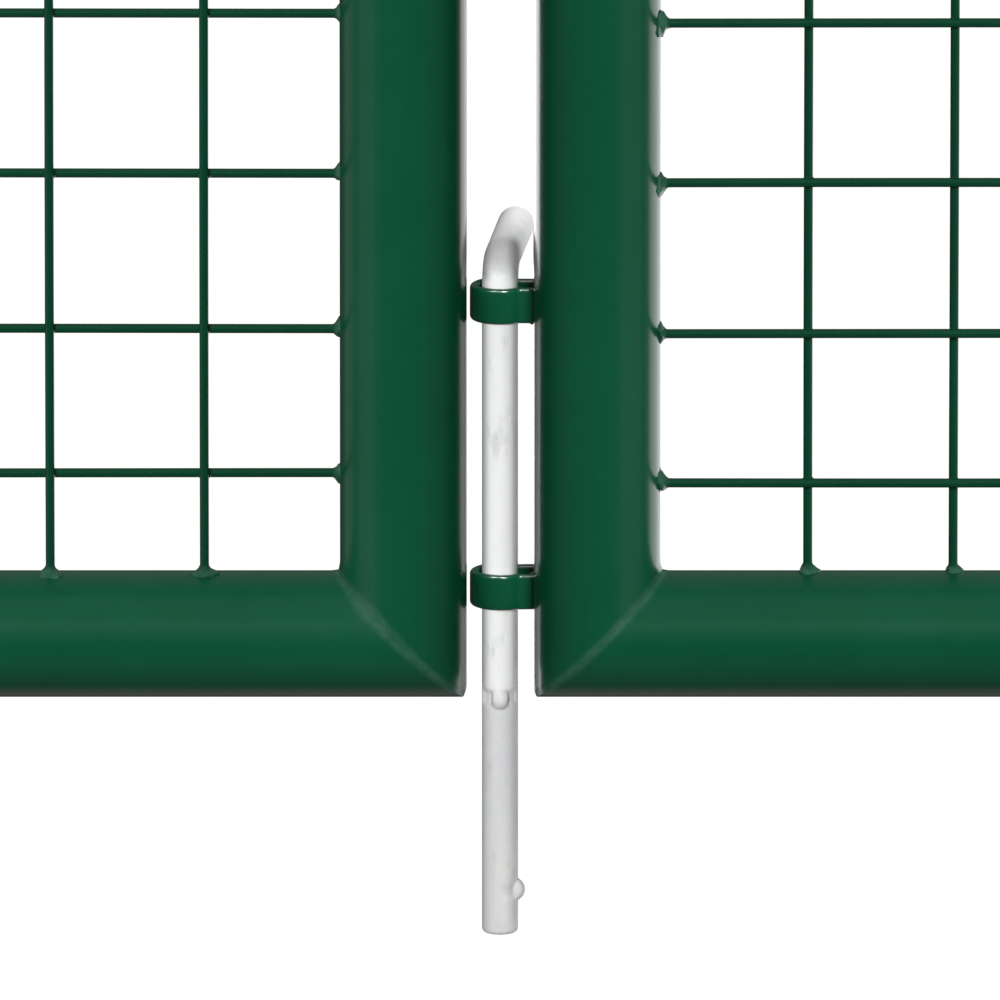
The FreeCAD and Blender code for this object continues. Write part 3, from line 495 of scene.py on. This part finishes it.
def leaf_tubes(side, sign):
    body = side + "_leaf"
    near = STILE[side][1].x if sign < 0 else STILE[side][0].x
    far = HINGE_STILE[side][0].x if sign < 0 else HINGE_STILE[side][1].x
    outward = X * sign
    height, width = LEAF_HIGH - LEAF_LOW, abs(far - near)
    low_near, low_far = Vector((near, 0, LEAF_LOW)), Vector((far, 0, LEAF_LOW))
    fillet = 0.5 if sign < 0 else 0.9
    stile = frame_tube(side + "_meeting_stile", body, low_near, Z, outward, height, fillet)
    if side == "left":
        cut_slots(stile, near + sign * TUBE_R, ("latch_bolt", "dead_bolt"))
    frame_tube(side + "_hinge_stile", body, low_far, Z, -outward, height, fillet)
    frame_tube(side + "_bottom_rail", body, low_near, outward, Z, width, fillet)
    frame_tube(side + "_top_rail", body, Vector((near, 0, LEAF_HIGH)), outward, -Z, width, fillet)


# ---------------------------------------------------------------- mesh wires

WIRE_R = 1.55 * MM
WIRE_SIDES = 18
WIRE_STEP = 45 * MM


def solid_boxes(node):
    """The lowest and highest corner of each separate solid of a node."""
    mesh = frame["nodes"][node].data
    bm = bmesh.new()
    bm.from_mesh(mesh)
    seen, boxes = set(), []
    for start in bm.verts:
        if start.index in seen:
            continue
        stack, low, high = [start], Vector((9, 9, 9)), Vector((-9, -9, -9))
        seen.add(start.index)
        while stack:
            vert = stack.pop()
            low, high = Vector(map(min, low, vert.co)), Vector(map(max, high, vert.co))
            for edge in vert.link_edges:
                other = edge.other_vert(vert)
                if other.index not in seen:
                    seen.add(other.index)
                    stack.append(other)
        boxes.append((low, high))
    bm.free()
    return merge_boxes(boxes)


def merge_boxes(boxes):
    """Joins boxes that touch or lie inside one another, as the faces of one solid do."""
    merged = []
    for low, high in boxes:
        for other in merged:
            if all(low[i] <= other[1][i] + 1e-5 and high[i] >= other[0][i] - 1e-5 for i in range(3)):
                other[0] = Vector(map(min, other[0], low))
                other[1] = Vector(map(max, other[1], high))
                break
        else:
            merged.append([low, high])
    return merged


def wire(build, start, end, seed):
    """A drawn wire with a hand-made weld at each end, where it runs a little into what it is welded to."""
    axis = (end - start).normalized()
    length = (end - start).length
    side = Y
    other = axis.cross(side)
    rng = random.Random(seed)
    lean = [(rng.uniform(-1, 1), rng.uniform(-1, 1)) for _ in range(2)]
    size = [rng.uniform(0.75, 1.35) for _ in range(2)]
    phase = [rng.uniform(0, 6.28) for _ in range(4)]
    sink, tall = 1.8 * MM, 3.0 * MM
    dense = [-sink, -0.6 * MM, 0, 0.4 * MM, 0.8 * MM, 1.2 * MM, 1.7 * MM, 2.2 * MM, 2.8 * MM, 3.6 * MM]
    middle = max(int(length / WIRE_STEP), 2)
    places = [(d, 0) for d in dense]
    places += [(length * k / middle, None) for k in range(1, middle)]
    places += [(length - d, 1) for d in reversed(dense)]
    rows, welds = [], []
    for along, at_end in places:
        wave = math.sin(along * 9 + phase[0]) + 0.6 * math.sin(along * 23 + phase[1])
        drift = side * (0.10 * MM * wave) + other * (0.10 * MM * math.sin(along * 13 + phase[2]))
        row = []
        blob, shift = 0.0, Vector((0, 0, 0))
        if at_end is not None:
            depth = along if at_end == 0 else length - along
            fade = 1 - smooth_step((depth + 0.4 * MM) / (tall * size[at_end]))
            blob = 2.1 * MM * size[at_end] * fade**1.2
            shift = (side * lean[at_end][0] * 0.5 + other * lean[at_end][1] * 0.8) * (1.1 * MM * fade)
        for k in range(WIRE_SIDES):
            angle = 2 * math.pi * k / WIRE_SIDES
            ray = side * math.cos(angle) + other * math.sin(angle)
            uneven = 1.0
            if blob:
                spot = start + axis * along + ray * 2 * MM
                uneven = 1 + 0.9 * noise.noise(spot * 480) + 0.5 * noise.noise(spot * 1100)
            row.append(start + axis * along + drift + shift + ray * (WIRE_R + blob * uneven))
        rows.append(row)
        # the weld mask here sets the painted highlight on the wire's welds
        welds.append([min(1.0, blob / MM)] * WIRE_SIDES)
    build.grid(rows, cap_start=True, cap_end=True, welds=welds)


def crossing(build, place, across, seed):
    """The small pressed nugget where two wires are fused, smoothed over by the coating."""
    rng = random.Random(seed)
    long, short = rng.uniform(1.9, 2.5) * MM, rng.uniform(1.7, 2.1) * MM
    rows = []
    for i in range(1, 6):
        tilt = math.pi * i / 6
        row = []
        for k in range(12):
            angle = 2 * math.pi * k / 12
            row.append(
                place
                + X * (long * math.sin(tilt) * math.cos(angle))
                + Z * (short * math.sin(tilt) * math.sin(angle))
                + Y * (across * math.cos(tilt))
            )
        rows.append(row)
    build.grid(rows, cap_start=True, cap_end=True)


def mesh_panel(side):
    body = side + "_leaf"
    upright_boxes = solid_boxes(side + "_upright_wires")
    level_boxes = solid_boxes(side + "_level_wires")
    uprights, levels = Build(), Build()
    for number, (low, high) in enumerate(upright_boxes):
        x, y = (low.x + high.x) / 2, (low.y + high.y) / 2
        wire(uprights, Vector((x, y, low.z)), Vector((x, y, high.z)), 100 + number)
        for count, (level_low, level_high) in enumerate(level_boxes):
            z = (level_low.z + level_high.z) / 2
            if low.z < z < high.z and level_low.x < x < level_high.x:
                crossing(uprights, Vector((x, 0, z)), 1.3 * MM, number * 100 + count)
    for number, (low, high) in enumerate(level_boxes):
        z, y = (low.z + high.z) / 2, (low.y + high.y) / 2
        wire(levels, Vector((low.x, y, z)), Vector((high.x, y, z)), 500 + number)
    # the wires take the darkened copy of the coat, painted shade
    uprights.piece(side + "_uprights", body, "green_powder_coat",
                   nodes=(side + "_upright_wires",), finish="green_wire_coat")
    levels.piece(side + "_levels", body, "green_powder_coat",
                 nodes=(side + "_level_wires",), finish="green_wire_coat")


# ---------------------------------------------------------------- drop bolt and its guides


def sweep(build, path, profile, up):
    """Carries a closed outline of (sideways, upwards) points along a path that turns about up."""
    rows = []
    for i, spot in enumerate(path):
        ahead = path[min(i + 1, len(path) - 1)] - path[max(i - 1, 0)]
        sideways = ahead.normalized().cross(up).normalized()
        rows.append([spot + sideways * a + up * b for a, b in profile])
    build.grid(rows, cap_start=True, cap_end=True)


def rounded_outline(wide, tall, radius, steps=5):
    """The outline of a flat bar with rounded edges, as (sideways, upwards) points."""
    points = []
    for cx, cy, begin in ((1, 1, 0), (-1, 1, 90), (-1, -1, 180), (1, -1, 270)):
        for k in range(steps + 1):
            angle = math.radians(begin + 90 * k / steps)
            points.append(
                (
                    cx * (wide / 2 - radius) + radius * math.cos(angle),
                    cy * (tall / 2 - radius) + radius * math.sin(angle),
                )
            )
    return points


def bolt_guide(node, pinch, seed):
    """A strap bent round the rod. Its legs close in by the pinch on their way to the stile."""
    low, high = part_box(node)
    centre_z = (low.z + high.z) / 2
    tall = high.z - low.z
    ring = -low.x - STRAP_THICK / 2
    middle_y = (low.y + high.y) / 2
    leave = math.asin(min(0.63, 1 - pinch / (14 * MM)))  # how far round the ring goes past its sides
    end_x = high.x - 4 * MM  # short of the CAD legs' ends, which are coped to the stile
    path = []
    for sign in (1, -1):
        leg = []
        on_ring = Vector((ring * math.sin(leave), -sign * ring * math.cos(leave), 0))
        tail = Vector((end_x, -sign * (ring - pinch), 0))
        for k in range(9):
            t = k / 9
            bend = smooth_step(t * 1.6)
            leg.append(Vector((tail.x + (on_ring.x - tail.x) * t, tail.y + (on_ring.y - tail.y) * bend, 0)))
        if sign > 0:
            path += leg
            for k in range(49):
                angle = math.pi / 2 - leave + (math.pi + 2 * leave) * k / 48
                path.append(Vector((ring * math.cos(-angle), ring * math.sin(-angle), 0)))
        else:
            path += leg[::-1]
    for spot in path:
        spot += Vector((0, middle_y, centre_z + 0.15 * MM * noise.noise(spot * 90 + Vector((seed, 0, 0)))))
    build = Build()
    sweep(build, path, rounded_outline(STRAP_THICK, tall, 1.4 * MM), Z)
    for sign in (-1, 1):
        face = sign * (ring - pinch + 1.0 * MM)
        reach = math.sqrt(TUBE_R**2 - (middle_y + face) ** 2)
        weld_x = STILE["right"][0].x + TUBE_R - reach - 0.3 * MM
        weld = [Vector((weld_x, middle_y + face, centre_z + tall * (k / 14 - 0.5))) for k in range(15)]
        bead(build, weld, 1.25 * MM, seed + sign, closed=False)
    return build.piece(node + "_strap", "right_leaf", "green_powder_coat", nodes=(node,), sharp=60.0)


# height, turn about the bar in degrees, and depth in mm of the scoops beside it
LUGS = ((RAIL_Z - 23.5 * MM, -90.0, 1.1), (RAIL_Z - 90 * MM, -10.0, 0.4))
LUG_DISC = [(-2.7, 2.0), (-2.3, 3.0), (-1.6, 3.6), (-0.7, 3.95), (0.7, 3.95), (1.6, 3.6), (2.3, 3.0), (2.7, 2.0)]


def drop_rod():
    """The bent bar with its two pressed lugs, blended into one skin as forged metal is."""
    yaw = math.radians(5.5)  # the handle points a little to the right
    bend = 9 * MM
    reach = (ROD_HIGH.y - ROD_Y - ROD_R * math.sin(yaw)) / math.cos(yaw)
    arm = Vector((math.sin(yaw), math.cos(yaw), 0))
    bottom, top_axis = ROD_LOW.z, ROD_HIGH.z - ROD_R
    start = Vector((0, ROD_Y, bottom))
    elbow_z = top_axis - bend
    centres, tangents, radii = [], [], []

    def station(place, tangent, radius):
        centres.append(place)
        tangents.append(tangent)
        radii.append(radius)

    soft = 1.5 * MM
    for k in range(7):
        angle = math.pi / 2 * k / 6
        station(
            start + Z * (soft * (1 - math.cos(angle)) * 0.9), Z,
            ROD_R - soft * (1 - math.sin(angle)) * 1.1,
        )
    straight = elbow_z - bottom - soft
    for k in range(1, 90):
        station(start + Z * (soft + straight * k / 90), Z, ROD_R)
    for k in range(25):
        angle = math.pi / 2 * k / 24
        place = start + Z * (elbow_z - bottom)
        place = place + arm * (bend * (1 - math.cos(angle))) + Z * (bend * math.sin(angle))
        station(place, Z * math.cos(angle) + arm * math.sin(angle), ROD_R)
    for k in range(1, 20):
        place = start + Z * (top_axis - bottom) + arm * (bend + (reach - bend - soft) * k / 20)
        station(place, arm, ROD_R)
    for k in range(7):
        angle = math.pi / 2 * k / 6
        place = start + Z * (top_axis - bottom) + arm * (reach - soft * (1 - math.sin(angle)))
        station(place, arm, ROD_R - soft * (1 - math.cos(angle)))
    build = Build()
    crosswise = Z.cross(arm)
    rows = []
    for place, tangent, radius in zip(centres, tangents, radii):
        up = crosswise.cross(tangent)
        row = []
        for k in range(56):
            angle = 2 * math.pi * k / 56
            row.append(place + crosswise * (radius * math.cos(angle)) + up * (radius * math.sin(angle)))
        rows.append(row)
    build.grid(rows, cap_start=True, cap_end=True)
    for height, turn, _ in LUGS:
        out = Vector((math.cos(math.radians(turn)), math.sin(math.radians(turn)), 0))
        flat = Z.cross(out)
        centre = Vector((0, ROD_Y, height)) + out * (4.4 * MM)
        build.lathe(centre, flat, out, [(a * MM, r * MM) for a, r in LUG_DISC], 40)
    rod = new_piece("drop_rod_bar", build.verts, build.faces, "drop_bolt", "galvanised_steel", ("drop_rod",))
    remesh = rod.modifiers.new("skin", "REMESH")
    remesh.mode = "VOXEL"
    remesh.voxel_size = 0.38 * MM
    apply_modifiers(rod)
    press_dents(rod)
    smooth = rod.modifiers.new("smooth", "SMOOTH")
    smooth.factor, smooth.iterations = 0.5, 5
    apply_modifiers(rod)
    rod.data.shade_smooth()
    dress(rod, "drop_bolt", "galvanised_steel")
    return rod


def press_dents(rod):
    """The press that raised each lug left a shallow scoop in the bar on both sides of it."""
    for height, turn, deep in LUGS:
        out = Vector((math.cos(math.radians(turn)), math.sin(math.radians(turn)), 0))
        for vert in rod.data.vertices:
            offset = vert.co - Vector((0, ROD_Y, height))
            radial = Vector((offset.x, offset.y, 0))
            if abs(offset.z) > 5 * MM or not 4 * MM < radial.length < 6.4 * MM:
                continue
            away = math.degrees(radial.angle(out))
            across = smooth_step((away - 22) / 14) * (1 - smooth_step((away - 62) / 22))
            along = 1 - smooth_step((abs(offset.z) - 1.0 * MM) / (2.4 * MM))
            vert.co -= radial.normalized() * (deep * MM * across * along)


def apply_modifiers(piece):
    graph = bpy.context.evaluated_depsgraph_get()
    graph.update()
    shaped = bpy.data.meshes.new_from_object(piece.evaluated_get(graph))
    piece.modifiers.clear()
    piece.data = shaped


# ---------------------------------------------------------------- posts, fastenings and welds


def bead(build, path, radius, seed, closed=True, ripple=3.2 * MM):
    """A laid weld: a rounded string along a path, with the ripple of its passes."""
    rows, shades, travelled, side = [], [], 0.0, None
    count = len(path)
    for i, spot in enumerate(path):
        before = path[i - 1] if closed or i else spot
        after = path[(i + 1) % count] if closed or i < count - 1 else spot
        ahead = (after - before).normalized()
        if side is None:
            side = ahead.orthogonal().normalized()
        else:
            travelled += (spot - path[i - 1]).length
            side = (side - ahead * side.dot(ahead)).normalized()
        other = ahead.cross(side)
        swell = 1 + 0.16 * abs(math.sin(math.pi * travelled / ripple))
        swell += 0.3 * noise.noise(spot * 150 + Vector((seed, 0, 0)))
        row = []
        for k in range(10):
            angle = 2 * math.pi * k / 10
            row.append(spot + (side * math.cos(angle) + other * math.sin(angle)) * radius * swell)
        rows.append(row)
        # the weld mask here sets the painted highlight on the bead
        shades.append([0.45] * 10)
    if closed:
        rows.append(rows[0])
        shades.append(shades[0])
    build.grid(rows, cap_start=not closed, cap_end=not closed, welds=shades)


def weld_round(name, body, axis_x, direction, half_wide, low, high, seed):
    """The weld where a flat-sided piece is coped to a stile: down both sides and across its ends."""

    def at(y, z):
        return Vector((axis_x + direction * math.sqrt(TUBE_R**2 - y**2), y, z))

    pitch = 0.8 * MM
    tall, steps = high - low, max(int((high - low) / pitch), 8)
    path = [at(-half_wide, low + tall * k / steps) for k in range(steps)]
    across = max(int(2 * half_wide / pitch), 8)
    path += [at(-half_wide + 2 * half_wide * k / across, high) for k in range(across)]
    path += [at(half_wide, high - tall * k / steps) for k in range(steps)]
    path += [at(half_wide - 2 * half_wide * k / across, low) for k in range(across)]
    build = Build()
    bead(build, path, 1.5 * MM, seed)
    build.piece(name, body, "green_powder_coat", sharp=80.0)


def post(side):
    low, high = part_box(side + "_post")
    axis = Vector(((low.x + high.x) / 2, 0, low.z))
    radius, tall = (high.x - low.x) / 2, high.z - low.z
    build = Build()
    profile = [(0.0, radius)] + [(tall * k / 12, radius) for k in range(1, 13)]
    build.lathe(axis, Z, X, profile, 160)
    turns = [2 * math.pi * k / 240 for k in range(240)]
    foot = [axis + Z * 0.6 * MM + X * (radius * math.cos(a)) + Y * (radius * math.sin(a)) for a in turns]
    bead(build, foot, 2.8 * MM, 11 if side == "left" else 12, ripple=4.5 * MM)
    build.piece(side + "_post_tube", "posts", "green_powder_coat", nodes=(side + "_post",), sharp=60.0)


def nuts():
    """Hexagon nuts with turned chamfers, the flats to the front and back."""
    build = Build()
    for low, high in solid_boxes("hinge_nuts"):
        centre = (low + high) / 2
        thick, flat = high.x - low.x, (high.y - low.y) / 2
        start = Vector((low.x, centre.y, centre.z))
        chamfer = flat * 1.02
        rows = []
        rings = [(0, 0), (0, 1), (0, 2), (0.6, 3), (1.4, 4)]
        places = rings + [(thick / MM - along, kind) for along, kind in reversed(rings)]
        for along, kind in places:
            row = []
            for k in range(144):
                angle = 2 * math.pi * k / 144
                hexagon = flat / math.cos((angle + math.pi / 6) % (math.pi / 3) - math.pi / 6)
                corner = min(hexagon, flat * 1.135)
                bevelled, half_bevelled = min(corner, chamfer * 0.965), min(corner, chamfer * 1.05)
                radius = (8.1 * MM, 9.2 * MM, bevelled, half_bevelled, corner)[kind]
                out = Y * (radius * math.cos(angle)) + Z * (radius * math.sin(angle))
                row.append(start + X * (along * MM) + out)
            rows.append(row)
        rows.append(rows[0])
        build.grid(rows)
    build.piece("hinge_nuts_turned", "posts", "zinc_plated_steel", nodes=("hinge_nuts",), sharp=25.0)


def saddles():
    """Round washers shaped to the post on one side and flat on the other."""
    build = Build()
    post_r = (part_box("left_post")[1].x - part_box("left_post")[0].x) / 2 + 0.02 * MM
    for low, high in solid_boxes("saddle_washers"):
        z, radius = (low.z + high.z) / 2, (high.y - low.y) / 2
        post_x = math.copysign(1, low.x) * abs((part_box("left_post")[0].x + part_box("left_post")[1].x) / 2)
        away = 1 if (low.x + high.x) / 2 > post_x else -1
        face = (high.x if away > 0 else low.x) - post_x
        rows = []
        for kind in range(7):
            row = []
            for k in range(96):
                angle = 2 * math.pi * k / 96
                ring = (8.6 * MM, 9.0 * MM, radius - 0.8 * MM, radius - 0.25 * MM, radius, radius, 8.6 * MM)[kind]
                y = ring * math.cos(angle)
                depth = (0, 0, 0, 0.25 * MM, 0.8 * MM, None, None)[kind]
                x = away * math.sqrt(post_r**2 - y**2) if depth is None else face - away * depth
                row.append(Vector((post_x + x, y, z + ring * math.sin(angle))))
            rows.append(row)
        rows.append(rows[0])
        build.grid(rows)
    build.piece("saddle_washers_formed", "posts", "zinc_plated_steel", nodes=("saddle_washers",), sharp=40.0)


def slot_of(node):
    """The record's material slot for a CAD node."""
    return next(entry["material_slot"] for entry in frame["record"]["subparts"] if entry["node"] == node)


def softened(node, width, segments=2, limit=38.0):
    """The node's own shape with its hard edges broken, as on a pressed, moulded or turned part."""
    mesh = frame["nodes"][node].data.copy()
    bm = bmesh.new()
    bm.from_mesh(mesh)
    bmesh.ops.remove_doubles(bm, verts=bm.verts, dist=1e-6)
    bmesh.ops.dissolve_limit(bm, angle_limit=math.radians(0.5), verts=bm.verts, edges=bm.edges)
    bm.to_mesh(mesh)
    bm.free()
    mesh.name = node + "_softened"
    piece = bpy.data.objects.new(node + "_softened", mesh)
    bpy.context.scene.collection.objects.link(piece)
    bevel = piece.modifiers.new("edges", "BEVEL")
    bevel.width, bevel.segments = width * MM, segments
    bevel.limit_method, bevel.angle_limit = "ANGLE", math.radians(limit)
    bevel.use_clamp_overlap = True
    apply_modifiers(piece)
    piece.data.shade_smooth()
    piece.data.set_sharp_from_angle(angle=math.radians(35))
    body = frame["nodes"][node]["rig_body"]
    return dress(piece, body, slot_of(node), nodes=(node,))


def spring():
    """The latch's coil spring, which on the lock closes up as the latch is drawn back; here it is a fixed coil
    that rides on the left leaf.
    """
    low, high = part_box("latch_spring")
    wire_r, turns, steps = 0.5 * MM, 4, 28
    radius = (high.z - low.z) / 2 - wire_r
    middle = Vector((0, (low.y + high.y) / 2, (low.z + high.z) / 2))
    long = high.x - low.x - 2 * wire_r
    path = []
    for k in range(turns * steps + 1):
        angle = 2 * math.pi * k / steps
        path.append(middle + X * (low.x + wire_r + long * k / (turns * steps))
                    + Y * (radius * math.cos(angle)) + Z * (radius * math.sin(angle)))
    rows = []
    for spot in path:
        out = Vector((0, spot.y - middle.y, spot.z - middle.z)).normalized()
        rows.append([spot + (out * math.cos(a) + X * math.sin(a)) * wire_r
                     for a in (2 * math.pi * j / 10 for j in range(10))])
    build = Build()
    build.grid(rows, cap_start=True, cap_end=True)
    coil = build.piece("latch_spring_coil", "left_leaf", slot_of("latch_spring"),
                       nodes=("latch_spring",), sharp=60.0)
    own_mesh(coil)


def fittings():
    for side in ("left", "right"):
        post(side)
        softened(side + "_base_plate", 1.0)
        softened(side + "_post_cap", 0.4)
        for level in ("lower", "upper"):
            softened(f"{side}_{level}_eyebolt", 0.5)
            softened(f"{side}_{level}_hinge_pin", 0.6)
    nuts()
    saddles()
    spring()
    for node, width in (
        ("lock_case", 0.5), ("lock_cover", 0.5), ("latch_keep", 0.5), ("front_lever_plate", 0.9),
        ("rear_lever_plate", 0.9), ("front_lever", 0.8), ("rear_lever", 0.8), ("lever_plate_screws", 0.5),
        ("lock_cylinder", 0.3), ("cylinder_plug", 0.2), ("key", 0.25), ("latch_bolt", 0.5), ("dead_bolt", 0.8),
    ):
        softened(node, width)
    keep_low, keep_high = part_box("latch_keep")
    weld_round("keep_weld", "right_leaf", (STILE["right"][0].x + STILE["right"][1].x) / 2, -1,
               keep_high.y, keep_low.z, keep_high.z, 21)
    case_low, case_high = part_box("lock_case")
    weld_round("case_weld", "left_leaf", (STILE["left"][0].x + STILE["left"][1].x) / 2, -1,
               case_high.y - 0.5 * MM, case_low.z, case_high.z, 22)
    for side, sign in (("left", -1), ("right", 1)):
        axis = (HINGE_STILE[side][0].x + HINGE_STILE[side][1].x) / 2
        for number, level in enumerate(("lower", "upper")):
            low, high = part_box(f"{side}_{level}_hinge_pin")
            base = high.z - BRACKET_TALL if level == "upper" else low.z
            weld_round(f"{side}_{level}_hinge_weld", side + "_leaf", axis, sign, BRACKET_HALF_WIDE,
                       base, base + BRACKET_TALL, 30 + number)


# ---------------------------------------------------------------- making the object

for side, sign in (("left", -1), ("right", 1)):
    leaf_tubes(side, sign)
    mesh_panel(side)
drop_rod()
bolt_guide("upper_bolt_guide", 2.2 * MM, 3)
bolt_guide("lower_bolt_guide", 4.6 * MM, 4)
fittings()

for entry in frame["record"]["subparts"]:
    node = frame["nodes"][entry["node"]]
    node.data.materials.clear()
    node.data.materials.append(MATERIAL[entry["material_slot"]])


# ---------------------------------------------------------------- floor, light and camera


def floor():
    """A pale floor that is seen but throws no light or shadow on the gate."""
    size, level = 120, -0.001
    mesh = bpy.data.meshes.new("floor")
    corners = [(x * size, y * size, level) for x, y in ((-1, -1), (1, -1), (1, 1), (-1, 1))]
    mesh.from_pydata(corners, [], [(0, 1, 2, 3)])
    plane = bpy.data.objects.new("floor", mesh)
    bpy.context.scene.collection.objects.link(plane)
    material = bpy.data.materials.new("floor_white")
    material.use_nodes = True
    tree = material.node_tree
    tree.nodes.clear()
    out = tree.nodes.new("ShaderNodeOutputMaterial")
    total = tree.nodes.new("ShaderNodeAddShader")
    glow = tree.nodes.new("ShaderNodeEmission")
    glow.inputs["Strength"].default_value = 0.95
    matt = tree.nodes.new("ShaderNodeBsdfDiffuse")
    matt.inputs["Color"].default_value = (0.5, 0.5, 0.5, 1)
    tree.links.new(glow.outputs[0], total.inputs[0])
    tree.links.new(matt.outputs[0], total.inputs[1])
    tree.links.new(total.outputs[0], out.inputs["Surface"])
    mesh.materials.append(material)
    plane.visible_diffuse = False
    plane.visible_glossy = False
    plane.visible_shadow = False


class Sky:
    """The world's light as a sum of soft patches, each a product of smooth steps along x, y and z."""

    def __init__(self, tree):
        self.tree = tree
        where = tree.nodes.new("ShaderNodeTexCoord")
        parts = tree.nodes.new("ShaderNodeSeparateXYZ")
        tree.links.new(where.outputs["Generated"], parts.inputs[0])
        self.axes = dict(zip("xyz", parts.outputs))

    def math(self, operation, first, second):
        node = self.tree.nodes.new("ShaderNodeMath")
        node.operation = operation
        for socket, value in zip(node.inputs, (first, second)):
            if isinstance(value, float):
                socket.default_value = value
            else:
                self.tree.links.new(value, socket)
        return node.outputs[0]

    def step(self, axis, low, high):
        source = self.axes[axis[-1]]
        if axis[0] == "|":
            source = self.math("ABSOLUTE", source, 0.0)
        return smooth_range(self.tree, source, low, high)

    def patches(self, base, *patches):
        total = None
        for strength, *steps in patches:
            patch = self.math("MULTIPLY", self.step(*steps[0]), strength)
            for step in steps[1:]:
                patch = self.math("MULTIPLY", patch, self.step(*step))
            total = patch if total is None else self.math("ADD", total, patch)
        return self.math("ADD", total, base)


def world():
    """White behind the gate, a dim studio in front of it, and a bright sweep behind its right side."""
    place = bpy.data.worlds.new("studio")
    bpy.context.scene.world = place
    place.use_nodes = True
    tree = place.node_tree
    tree.nodes.clear()
    sky = Sky(tree)
    out = tree.nodes.new("ShaderNodeOutputWorld")
    path = tree.nodes.new("ShaderNodeLightPath")
    seen = tree.nodes.new("ShaderNodeBackground")
    glossy = tree.nodes.new("ShaderNodeBackground")
    diffuse = tree.nodes.new("ShaderNodeBackground")
    tree.links.new(sky.patches(
        0.03,
        (0.08, ("z", -0.3, -0.8)),
        (0.18, ("z", -0.15, 0.5)),
        (0.05, ("|x", 0.25, 0.75), ("z", 0.45, 0.0)),
        (0.20, ("y", 0.1, 0.4), ("z", -0.5, -0.8)),
        (2.00, ("y", 0.25, 0.50), ("x", 0.05, 0.35), ("z", 0.05, -0.10)),
    ), glossy.inputs["Strength"])
    tree.links.new(sky.patches(
        0.06,
        (0.14, ("z", -0.2, 0.8)),
        (0.25, ("y", 0.1, 0.9)),
    ), diffuse.inputs["Strength"])
    unseen, total = tree.nodes.new("ShaderNodeMixShader"), tree.nodes.new("ShaderNodeMixShader")
    tree.links.new(path.outputs["Is Glossy Ray"], unseen.inputs[0])
    tree.links.new(diffuse.outputs[0], unseen.inputs[1])
    tree.links.new(glossy.outputs[0], unseen.inputs[2])
    tree.links.new(path.outputs["Is Camera Ray"], total.inputs[0])
    tree.links.new(unseen.outputs[0], total.inputs[1])
    tree.links.new(seen.outputs[0], total.inputs[2])
    seen.inputs["Color"].default_value = (1, 1, 1, 1)
    tree.links.new(total.outputs[0], out.inputs["Surface"])


def area_light(name, azimuth, elevation, distance, size, power, bodies=(), glossy=False, diffuse=True, only="",
               shadow=True):
    """A soft light on the given bodies, or on all; azimuth 0 is in front, and positive is to the right."""
    data = bpy.data.lights.new(name, "AREA")
    data.shape = "RECTANGLE"
    data.size, data.size_y = size
    data.energy = power
    data.use_shadow = shadow
    turn, rise = math.radians(azimuth), math.radians(elevation)
    away = Vector((math.sin(turn) * math.cos(rise), -math.cos(turn) * math.cos(rise), math.sin(rise)))
    lamp = bpy.data.objects.new(name, data)
    lamp.location = Z * 0.4 + away * distance
    lamp.rotation_mode = "QUATERNION"
    lamp.rotation_quaternion = away.to_track_quat("Z", "Y")
    lamp.visible_camera = False
    lamp.visible_glossy = glossy
    lamp.visible_diffuse = diffuse
    bpy.context.scene.collection.objects.link(lamp)
    if bodies:
        chosen = bpy.data.collections.new(name + "_receivers")
        for piece in bpy.data.objects:
            if piece.get("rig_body") in bodies and only in piece.name:
                chosen.objects.link(piece)
        lamp.light_linking.receiver_collection = chosen


LEFT = ("left_leaf", "lever", "latch", "dead_bolt", "key_and_plug")


def lights():
    """A key, a back light and side lights for each leaf, and lights of their own for the bar and its guides."""
    area_light("left_key", -15, 23, 6.0, (2.2, 2.2), 385, LEFT)
    area_light("right_key", 15, 23, 6.0, (2.2, 2.2), 385, ("right_leaf",))
    area_light("front", -8, 23, 6.0, (2.2, 2.2), 400, ("posts",), glossy=True)
    area_light("back", 168, 12, 6.5, (4.0, 2.4), 240, LEFT + ("right_leaf", "posts"))
    area_light("left_side", -92, -12, 5.0, (8.0, 4.0), 21, LEFT, glossy=True, diffuse=False)
    area_light("right_side", 80, -12, 5.0, (7.0, 4.0), 15, ("right_leaf",), glossy=True, diffuse=False)
    area_light("rim", -150, -14, 5.0, (4.6, 3.0), 170, ("right_leaf",), glossy=True, diffuse=False, only="_tube")
    area_light("bar_front", -9, 12, 6.0, (1.4, 1.4), 480, ("drop_bolt",))
    area_light("bar_top", 75, 62, 5.0, (3.0, 3.0), 400, ("drop_bolt",))
    for place, azimuth in (("left", -42), ("right", 22)):
        area_light("glint_" + place, azimuth, 60, 5.0, (1.0, 2.4), 420, ("right_leaf",), glossy=True,
                   diffuse=False, only="_strap", shadow=False)


VIEW_WIDTH = 1000 / 3.02 * MM
VIEW_ANGLE = math.radians(1.5)
ELEVATION = math.radians(14.0)


def camera():
    """Far off with a long lens, looking down a little at the bottom of the gap."""
    data = bpy.data.cameras.new("camera")
    data.sensor_width = 36
    data.lens = 18 / math.tan(VIEW_ANGLE / 2)
    distance = VIEW_WIDTH / 2 / math.tan(VIEW_ANGLE / 2)
    target = Vector((0, 0, RAIL_Z + 45.6 * MM))
    back = Vector((0, -math.cos(ELEVATION), math.sin(ELEVATION)))
    view = bpy.data.objects.new("camera", data)
    view.location = target + back * distance
    view.rotation_mode = "QUATERNION"
    view.rotation_quaternion = (-back).to_track_quat("-Z", "Y")
    data.clip_end = 1000
    bpy.context.scene.collection.objects.link(view)
    bpy.context.scene.camera = view


floor()
world()
lights()
camera()
bpy.context.scene.view_settings.view_transform = "Standard"
